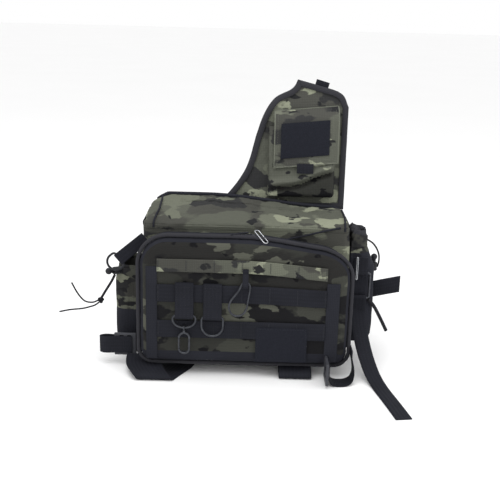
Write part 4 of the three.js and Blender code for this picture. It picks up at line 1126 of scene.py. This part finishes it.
def pouch_ring(pouch, inset, steps=14):
    """The plan of a pouch at one level, so far inside its widest outline."""
    far = pouch["far"] - inset * pouch["slant"]
    left, right = (NEAR, far) if pouch["sign"] > 0 else (-far, -NEAR)
    radii = (20, 20, 4, 4) if pouch["sign"] > 0 else (4, 4, 20, 20)
    return rounded_box((left, right, pouch["low"] + inset, pouch["high"] - inset), radii, 0, 7, steps)


def gathered(spot, pouch, share, depth):
    """Draws a rim point inwards in small pleats, more towards the top."""
    middle = Vector(((NEAR + pouch["far"]) / 2 * pouch["sign"], (pouch["low"] + pouch["high"]) / 2))
    arm = spot - middle
    if abs(spot.x) < NEAR + 3:
        return spot
    pleat = 1 + math.cos(GATHERS * math.atan2(arm.y, arm.x) + 1.3 * math.sin(3 * arm.y))
    return middle + arm * (1 - depth * share * pleat)


for pouch in POUCHES:
    rings = []
    top = pouch["levels"][-1][0]
    for rise, inset in pouch["levels"]:
        share = step((rise - top + DRAWN_IN) / DRAWN_IN)
        ring = [gathered(p, pouch, share, 0.03 * pouch["slant"]) for p in pouch_ring(pouch, inset)]
        rings.append([(p.x, p.y, pouch["base"] + rise) for p in ring])
    piece = skin("pouch_" + pouch["side"] + "_cloth", rings, True, (0,))
    worked(piece, "SUBSURF", levels=1, render_levels=1)
    lock = Vector(pouch["lock"])

    def pouch_crease(p):
        """Loose creases that fade out at the bag's side and where the cord lock lies on the cloth."""
        return slack(p, 24, 2.4, 17) * step((abs(p.x) - NEAR) / 6) * step((p - lock).length / 30)

    def is_black_or_painted_shade(p):
        """Whether a face is on the black foot, which on the right pouch reaches high as a painted shade, or
        on the black strip at the left pouch's front seam.
        """
        return p.z < pouch["black_foot_and_shade"] or (STRIP_EDGE < p.x < 0 and p.y < 0 and p.z < STRIP_TOP)

    creased(piece, pouch_crease)
    worked(piece, "SOLIDIFY", thickness=POUCH_CLOTH, offset=-1)
    two_tone(piece, (camo_side_painted_shade, black_cloth), is_black_or_painted_shade)
    dressed(piece, [], ["pouch_" + pouch["side"]])

right_pouch = POUCHES[1]
neck_middle = Vector((165.9, 16))
COLLAR_FOOT, COLLAR_RISE = 172.4, 23
COLLAR_LEVELS = [
    (0, 1), (0.12, 1), (0.25, 1), (0.38, 0.99), (0.5, 0.98), (0.62, 0.96), (0.73, 0.92), (0.83, 0.86),
    (0.91, 0.78), (0.97, 0.67), (1, 0.54), (1, 0.4), (0.97, 0.27), (0.92, 0.16), (0.84, 0.1),
]
collar_rings = []
for share, narrow in COLLAR_LEVELS:
    ring = []
    for p in pouch_ring(right_pouch, 7 + 2 * share, 30):
        p = gathered(p, right_pouch, 0.3 + 0.7 * share, 0.08)
        p = neck_middle + (p - neck_middle) * narrow
        slump = share ** 3 * (0.28 * (p.x - 160) - 0.14 * (p.y - 16))
        ring.append((p.x, p.y, COLLAR_FOOT + COLLAR_RISE * share - slump))
    collar_rings.append(ring)
collar = skin("collar_right_cloth", collar_rings)
worked(collar, "SUBSURF", levels=1, render_levels=1)
creased(collar, lambda p: 3.4 * noise.noise(p / 9) * step((p.z - 174) / 8) + slack(p, 13, 2.2, 41))
worked(collar, "SOLIDIFY", thickness=COLLAR_CLOTH, offset=-1)
two_tone(collar, (camo_side_painted_shade, tape), lambda p: p.z + 0.25 * p.x > 229)
dressed(collar, [], ["collar_right"])

# Cord locks. A barrel and a sprung ball-headed button of moulded nylon grip the draw cord; pressing the
# button frees it.
BALL_RADIUS, BALL_MIDDLE = 4.7, 20.7


# Moulded nylon: satin, with a fine grain from the mould and a little greyer on worn crowns.
def moulded(name, tones):
    """Nylon of one dye, given as its darker and its lighter tone."""
    material, tree, shader = new_finish(name, {"Roughness": 0.5, "Specular IOR Level": 0.2})
    spot = node(tree, "TexCoord").outputs["Object"]
    grain = node(tree, "TexNoise", {"Vector": spot, "Scale": 1 / 0.0009, "Detail": 2}).outputs[0]
    bump = node(tree, "Bump", {"Height": grain, "Strength": 0.25, "Distance": 0.0003})
    tree.links.new(clouded(tree, tones, 120), shader.inputs["Base Color"])
    tree.links.new(bump.outputs[0], shader.inputs["Normal"])
    return material


nylon = moulded("moulded_nylon", ("#1e1f23", "#2d2e32"))
LOCKS = [
    {"side": "left", "spot": (-176.5, -14.6, 132), "turn": -82, "yaw": 49},
    {"side": "right", "spot": (188.9, 40, 124), "turn": 0, "yaw": 0},
]


def lathed(name, profile, lock):
    """Spins a profile of radius and height round the lock's own axis, and sets it in its place."""
    edges = [(k, k + 1) for k in range(len(profile) - 1)]
    piece = new_piece(name, [(r / 1000, 0, h / 1000) for r, h in profile], edges, [])
    worked(piece, "SCREW", steps=32, render_steps=32, use_merge_vertices=True, merge_threshold=1e-5)
    piece.rotation_euler = (0, math.radians(lock["turn"]), math.radians(lock["yaw"]))
    piece.location = place(*lock["spot"])
    bpy.ops.object.transform_apply(location=True, rotation=True, scale=True)
    face_outwards(piece)
    return piece


ball_turns = [-0.85 + 2.42 * k / 14 for k in range(15)]
ball_line = [(BALL_RADIUS * math.cos(a), BALL_MIDDLE + BALL_RADIUS * math.sin(a)) for a in ball_turns]
ball_line[-1] = (0, ball_line[-1][1])
BARREL = [
    (0, 0), (4.0, 0), (4.9, 0.3), (5.4, 1.2), (5.4, 3), (4.9, 3.6), (4.9, 4.4), (5.4, 5), (5.4, 7),
    (4.9, 7.6), (4.9, 8.4), (5.4, 9), (5.4, 11), (5.1, 11.7), (4.4, 12), (3.6, 11.9), (3.4, 11.4),
    (3.4, 2.5), (0, 2.5),
]
BUTTON = [(0, 9), (2.9, 9), (2.9, 16.4), *ball_line]
for lock in LOCKS:
    barrel = lathed("cord_lock_" + lock["side"] + "_barrel", BARREL, lock)
    dressed(barrel, [nylon], ["cord_lock_" + lock["side"]])
    button = lathed("lock_button_" + lock["side"] + "_ball", BUTTON, lock)
    dressed(button, [nylon], ["lock_button_" + lock["side"]], "button_" + lock["side"])

# Left side ring. A slanting webbing tab is sewn to the shoulder of the front pocket, and a plastic D-ring
# swings in its fold.
LEAN = Matrix.Rotation(math.radians(50), 3, "Y")
SIDE_RING_SPOT = Vector((-172, -44, 158))
SIDE_TAB_TALL, SIDE_TAB_WIDE = 46, 17
side_tab = folded_tab("side_tab_left_webbing", SIDE_RING_SPOT, SIDE_TAB_TALL, SIDE_TAB_WIDE, EYE, LEAN)
dressed(side_tab, [webbing], ["side_tab_left"])
side_ring_points = upright(SIDE_RING_SPOT, d_ring_line(11.5, 19), LEAN)
side_ring = bent_wire("side_ring_left_nylon", side_ring_points, RING_WIRE, True)
dressed(side_ring, [nylon], ["side_ring_left"], "side_ring")

# Base loops. Wide webbing runs under the base from front to back in flat slack loops, on which the bag
# stands and under which a mat or a rod tube is carried.
BASE_LOOPS = [
    {"name": "bottom_loop_left", "width": 50, "path": [
        (-139, -46, 18.6), (-139, -58, 14.6), (-136, -72, 12.4), (-128, -88, 9.6), (-122, -94, 5.4),
        (-120, -92, 1.8), (-117, -86, 0.8), (-111, -74, 0.8), (-95, -40, 0.8), (-92, 42, 0.8), (-92, 50, 0.8),
        (-92, 56, 2), (-92, 58.5, 6), (-92, 56, 11.5), (-92, 46, 16.4)]},
    {"name": "bottom_loop_right", "width": 45, "path": [
        (72, -46, 18.6), (72, -58, 14.2), (72, -71, 11.4), (72, -79.5, 7), (72, -79, 2.4), (72, -72, 0.8),
        (72, -64, 0.8), (72, 42, 0.8), (72, 50, 0.8), (72, 56, 2), (72, 58.5, 6), (72, 56, 11.5),
        (72, 46, 16.4)]},
]
for loop in BASE_LOOPS:
    piece = strap(loop["name"] + "_webbing", laid(loop["path"], 6), (1, 0, 0), loop["width"])
    dressed(piece, [webbing], [loop["name"]])

# Ladder buckles and side straps. Moulded buckles with two slots hold webbing at both lower corners; each
# strap doubles back on itself in an open loop. A short strap end stands off the right pouch.
BUCKLES = [("left", (-167, -40, 31), (0, 1, 2)), ("right", (113.2, -92, 20), (1, 2, 0))]
BUCKLE_SIZE = (31, 4, 33)
SLOT_SIZE = (6.5, 12, 27)
SLOT_OFFSET = 5.25
buckle_nylon = moulded("moulded_nylon_grey", ("#34353a", "#45464b"))


def turned_size(size, order):
    """A size along the strap, through the buckle and along its slots, in the order of X, Y and Z."""
    return [size[k] for k in order]


for side, (x, y, z), order in BUCKLES:
    size = turned_size(BUCKLE_SIZE, order)
    buckle = cast_block("buckle_" + side + "_nylon", (x, y, z - size[2] / 2), size, 1.2)
    hole = turned_size(SLOT_SIZE, order)
    for offset in (-SLOT_OFFSET, SLOT_OFFSET):
        dx, dy, dz = turned_size((offset, 0, 0), order)
        cutter = cast_block("slot", (x + dx, y + dy, z + dz - hole[2] / 2), hole, 0.8)
        worked(buckle, "BOOLEAN", operation="DIFFERENCE", object=cutter)
        bpy.data.objects.remove(cutter)
    dressed(buckle, [buckle_nylon], ["buckle_" + side], angle=35)
SIDE_STRAPS = [
    ("strap_left_loop", (0, 0, 1), [
        (-157, -43.2, 31), (-180, -43.6, 31), (-196, -44.6, 31), (-202.6, -40, 31), (-196, -35.4, 31),
        (-180, -36.4, 31), (-142.9, -36.8, 31)]),
    ("strap_right_loop", (0, 1, 0), [
        (148.1, -72, 46), (148.1, -73, 36), (150.5, -76.5, 24), (151, -80, 12), (147, -84, 4),
        (138, -87, 0.9), (128, -88, 0.9), (120.5, -88, 3.5), (117, -88, 11), (116.4, -88, 20),
        (116.4, -88, 33)]),
    ("strap_tab_right", (0, 0, 1), [(186, 18, 102), (205, 14, 107.8), (224, 10, 113.4)]),
]
for name, across, plan in SIDE_STRAPS:
    piece = strap(name + "_webbing", laid(plan, 6), across, WEB_WIDE)
    dressed(piece, [webbing], [name])

# Shoulder wing. A foam pad in printed cloth rises from the back edge and leans back; black binding tape
# is folded over its rim, and a short webbing end is sewn to its tip.
WING_SPOT = Vector((0, 73.5, 207))
WING_TURN = Matrix.Rotation(math.radians(-10), 3, "X")
WING_LEFT = [
    (-54, 0), (-30, 19), (-6, 52), (3, 75), (8, 95), (13.5, 115), (20.5, 135), (30, 153), (39, 163),
    (50, 169), (60, 174), (66, 180), (70, 189),
]
WING_RIGHT = [(93, 183), (136, 169), (146, 150)]
WING_FOOT = (143.5, 0)
camo_wing = camouflage("printed_polyester_wing", (0.52, 0.4, 0.06), (1.0, 0.98, 1.0))


def on_wing(x, y, z):
    """The place on the bag of a point in the wing's own axes, from its foot."""
    return WING_SPOT + WING_TURN @ Vector((x, y, z))


def off_wing(p):
    """A place on the bag as a point in the wing's own axes."""
    return WING_TURN.inverted() @ (p - WING_SPOT)


def between(start, end, parts):
    """Points on a straight stretch of the wing's outline, without its two ends."""
    (x, z), (far_x, far_z) = start, end
    return [Vector((x + (far_x - x) * k / parts, 0, z + (far_z - z) * k / parts)) for k in range(1, parts)]


wing_edge = curve_points([(x, 0, z) for x, z in WING_LEFT], 4)
wing_edge += between(WING_LEFT[-1], WING_RIGHT[0], 4)
wing_edge += curve_points([(x, 0, z) for x, z in WING_RIGHT], 5)
wing_edge += between(WING_RIGHT[-1], WING_FOOT, 14)
wing_edge += [Vector((WING_FOOT[0], 0, WING_FOOT[1])), *between(WING_FOOT, WING_LEFT[0], 18)]


def inner_edge(distance):
    """The wing's outline moved inwards, a little further where it turns a corner."""
    count = len(wing_edge)
    moved = []
    for i in range(count):
        before = (wing_edge[i] - wing_edge[i - 1]).normalized()
        after = (wing_edge[(i + 1) % count] - wing_edge[i]).normalized()
        ahead = (before + after).normalized()
        inward = Vector((ahead.z, 0, -ahead.x))
        moved.append(wing_edge[i] + inward * (distance / max(ahead.dot(after), 0.6)))
    return moved


BIND_SECTION = [(9, 5.2), (7.4, 5.9), (4.5, 6), (2, 5.4), (0.6, 3.6), (0, 0)]
BIND_SECTION += [(d, -t) for d, t in reversed(BIND_SECTION[:-1])]
SEWN_WIDE = 13
bind_edges = {d: inner_edge(d) for d, _ in BIND_SECTION}
bind_rings = []
for i in range(len(wing_edge) + 1):
    spot = i % len(wing_edge)
    bind_rings.append([on_wing(bind_edges[d][spot].x, t, bind_edges[d][spot].z) for d, t in BIND_SECTION])
binding = skin("wing_binding_tape", bind_rings)
creased(binding, lambda p: 0.2 * noise.noise(p / 9))
dressed(binding, [tape], ["wing_binding"])

pad_edge = [p for p in inner_edge(4.5) if min((p - q).length for q in wing_edge) > 4.3]
pad_points = [place(*on_wing(p.x, -3, p.z)) for p in pad_edge]
pad_edges = [(k, (k + 1) % len(pad_points)) for k in range(len(pad_points))]
wing_pad = new_piece("wing_pad_foam", pad_points, pad_edges, [])
activate(wing_pad)
bpy.ops.object.mode_set(mode="EDIT")
bpy.ops.mesh.select_all(action="SELECT")
bpy.ops.mesh.edge_face_add()
pad_way = (on_wing(0, 6, 0) - on_wing(0, 0, 0)) / 1000
bpy.ops.mesh.extrude_region_move(TRANSFORM_OT_translate={"value": pad_way})
bpy.ops.mesh.select_all(action="SELECT")
bpy.ops.mesh.normals_make_consistent(inside=False)
bpy.ops.object.mode_set(mode="OBJECT")


def near_binding(p):
    """Whether a point of the pad lies under the binding, where it is sewn."""
    spot = off_wing(p)
    return min((spot.x - q.x) ** 2 + (spot.z - q.z) ** 2 for q in wing_edge) < SEWN_WIDE ** 2


puffed(wing_pad, 3, 3, 4, near_binding)
creased(wing_pad, lambda p: slack(p, 30, 1.2, 23) + 0.5)
flat_uv(wing_pad, 0, 2)
dressed(wing_pad, [camo_wing], ["wing_pad"])
tip_line = [on_wing(99 + 9 * k / 6, 7.2, 156 + 32 * k / 6) for k in range(7)]
wing_tip = strap("wing_loop_webbing", tip_line, WING_TURN @ Vector((32, 0, -9)), 20)
dressed(wing_tip, [webbing], ["wing_loop"])

# Phone pocket. A slack pocket on the wing with a gusset, closed by a bound flap that carries a loop patch
# and a webbing pull; its cloth sags in a fold under the flap.
PHONE_X, PHONE_Y, PHONE_Z = 78, -6.4, 17
PHONE_CLOTH = 0.0018
FLAP_SLOPE = 0.1


def on_phone(x, y, z):
    """The place on the bag of a point of the phone pocket, from the middle of its foot."""
    return on_wing(PHONE_X + x, PHONE_Y + y, PHONE_Z + z)


def on_flap(x, y, z):
    """A place on the flap, which hangs to the right of the pocket's middle and rises to the right."""
    return on_phone(6 + x, y, z + FLAP_SLOPE * x)


PHONE = (-49, 49, -16, 0)
PHONE_RADII = (7, 2, 2, 7)
PHONE_LEVELS = [(0, 7), (0, 4), (1.4, 1.6), (5, 0)] + [(5 + 97 * k / 48, 0) for k in range(1, 49)]
phone_rings = []
for rise, inset in PHONE_LEVELS:
    phone_rings.append([on_phone(p.x, p.y, rise) for p in rounded_box(PHONE, PHONE_RADII, inset, 6, 44)])
phone_pocket = skin("phone_pocket_cloth", phone_rings, True, (0,))


def under_fold(x, z):
    """How high a point of the pocket's front lies above the line of its fold, which rises to the right."""
    return z - 11 - 0.3 * (x + 50) + 5 * math.exp(-((x + 5) / 22) ** 2)


def phone_fold(p):
    """A slack fold that droops across the front below the flap, with creases on both sides of it."""
    spot = off_wing(p)
    if spot.y > -10:
        return 0
    x, z = spot.x - PHONE_X, spot.z - PHONE_Z
    sag = under_fold(x, z)
    ridge = 5 * math.exp(-((sag - 5) / 5) ** 2) - 7 * math.exp(-((sag + 4) / 4) ** 2)
    low = step((z + 1) / 6) * step((49 - abs(x)) / 8)
    return slack(p, 20, 1.8, 31) + ridge * low


creased(phone_pocket, phone_fold)
worked(phone_pocket, "SOLIDIFY", thickness=PHONE_CLOTH, offset=-1)


def shaded_foot(p):
    """Whether a face belongs to the foot of the pocket below the fold, which takes the darker copy of the
    print as a painted shade.
    """
    spot = off_wing(p)
    return spot.x > 44 and under_fold(spot.x - PHONE_X, spot.z - PHONE_Z) < -1.5


# Painted shade: the foot under the fold takes the darker front copy of the print.
two_tone(phone_pocket, (camo_wing, camo_front_painted_shade), shaded_foot)
dressed(phone_pocket, [], ["phone_pocket"])

FLAP_OUT = -17.5
FLAP_HALF, RIM_HALF, SEAM_HALF = 47, 46.2, 42
FLAP_TOP, SEAM_FOOT, SEAM_LIFT = 129, 51, 1.9
FLAP_LINE = [(-1.1, FLAP_TOP), (-8, 124.5), (-15, 116), (-17.5, 106), (-17.5, 90), (-17.5, 46)]
flap_side = curve_points([(0, y, z) for y, z in FLAP_LINE], 6)
flap_rows = []
for p in flap_side:
    row = []
    for k in range(41):
        x = -FLAP_HALF + 2 * FLAP_HALF * k / 40
        wave = 0.5 * noise.noise(Vector((x / 17, p.z / 17, 5)))
        row.append(on_flap(x, p.y - 0.4 - abs(wave), p.z))
    flap_rows.append(row)
flap = skin("phone_flap_cloth", flap_rows, False)
worked(flap, "SOLIDIFY", thickness=PHONE_CLOTH, offset=0)
# Overcast edge of the flap: pale sage thread laid close over the cloth's cut edge.
flap_edge = woven("overcast_edge", 0.9, 0.1, ("#6a6d62", "#808377"), 60, PLAIN_WEAVE, 0.4, 0.3)
rim = [Vector((-RIM_HALF, p.y, p.z)) for p in flap_side]
rim += [Vector((-RIM_HALF + 2 * RIM_HALF * k / 20, FLAP_OUT, 46.8)) for k in range(1, 20)]
rim += [Vector((RIM_HALF, p.y, p.z)) for p in reversed(flap_side)]
rim += [Vector((RIM_HALF - 2 * RIM_HALF * k / 20, -2.2, FLAP_TOP)) for k in range(1, 20)]
flap_rim = tube("flap_binding", [on_flap(p.x, p.y - 0.5, p.z) for p in rim], 1.2, 8, True)
flap.data.materials.append(camo_wing)
flap_rim.data.materials.append(flap_edge)
flap = joined([flap, flap_rim])
dressed(flap, [], ["phone_flap"])
left_seam, right_seam = [
    [Vector((x, p.y - SEAM_LIFT, p.z)) for p in flap_side] for x in (-SEAM_HALF, SEAM_HALF)
]
left_seam[-1].z = right_seam[-1].z = SEAM_FOOT
flap_seam = left_seam + right_seam[::-1]
seam_facing = on_phone(0, -1, 0) - on_phone(0, 0, 0)
seam_rows = [([on_flap(*p) for p in flap_seam], seam_facing)]
flap_stitches = bars("flap_stitches", seam_rows, STITCH_PITCH, STITCH_LONG, STITCH_THICK)
dressed(flap_stitches, [flap_edge])
loop_patch("wing_patch_pile", "loop_patch_wing", lambda x, y, z: on_flap(x - 2, -19 + y, 84 + z))
pull_route = curve_points([(-1, -19.8, 49), (-1, -20.2, 42), (-1, -19.6, 35)], 4)
flap_pull = strap("flap_pull_webbing", [on_flap(*p) for p in pull_route], (1, 0, 0), 24)
dressed(flap_pull, [webbing], ["flap_pull"])
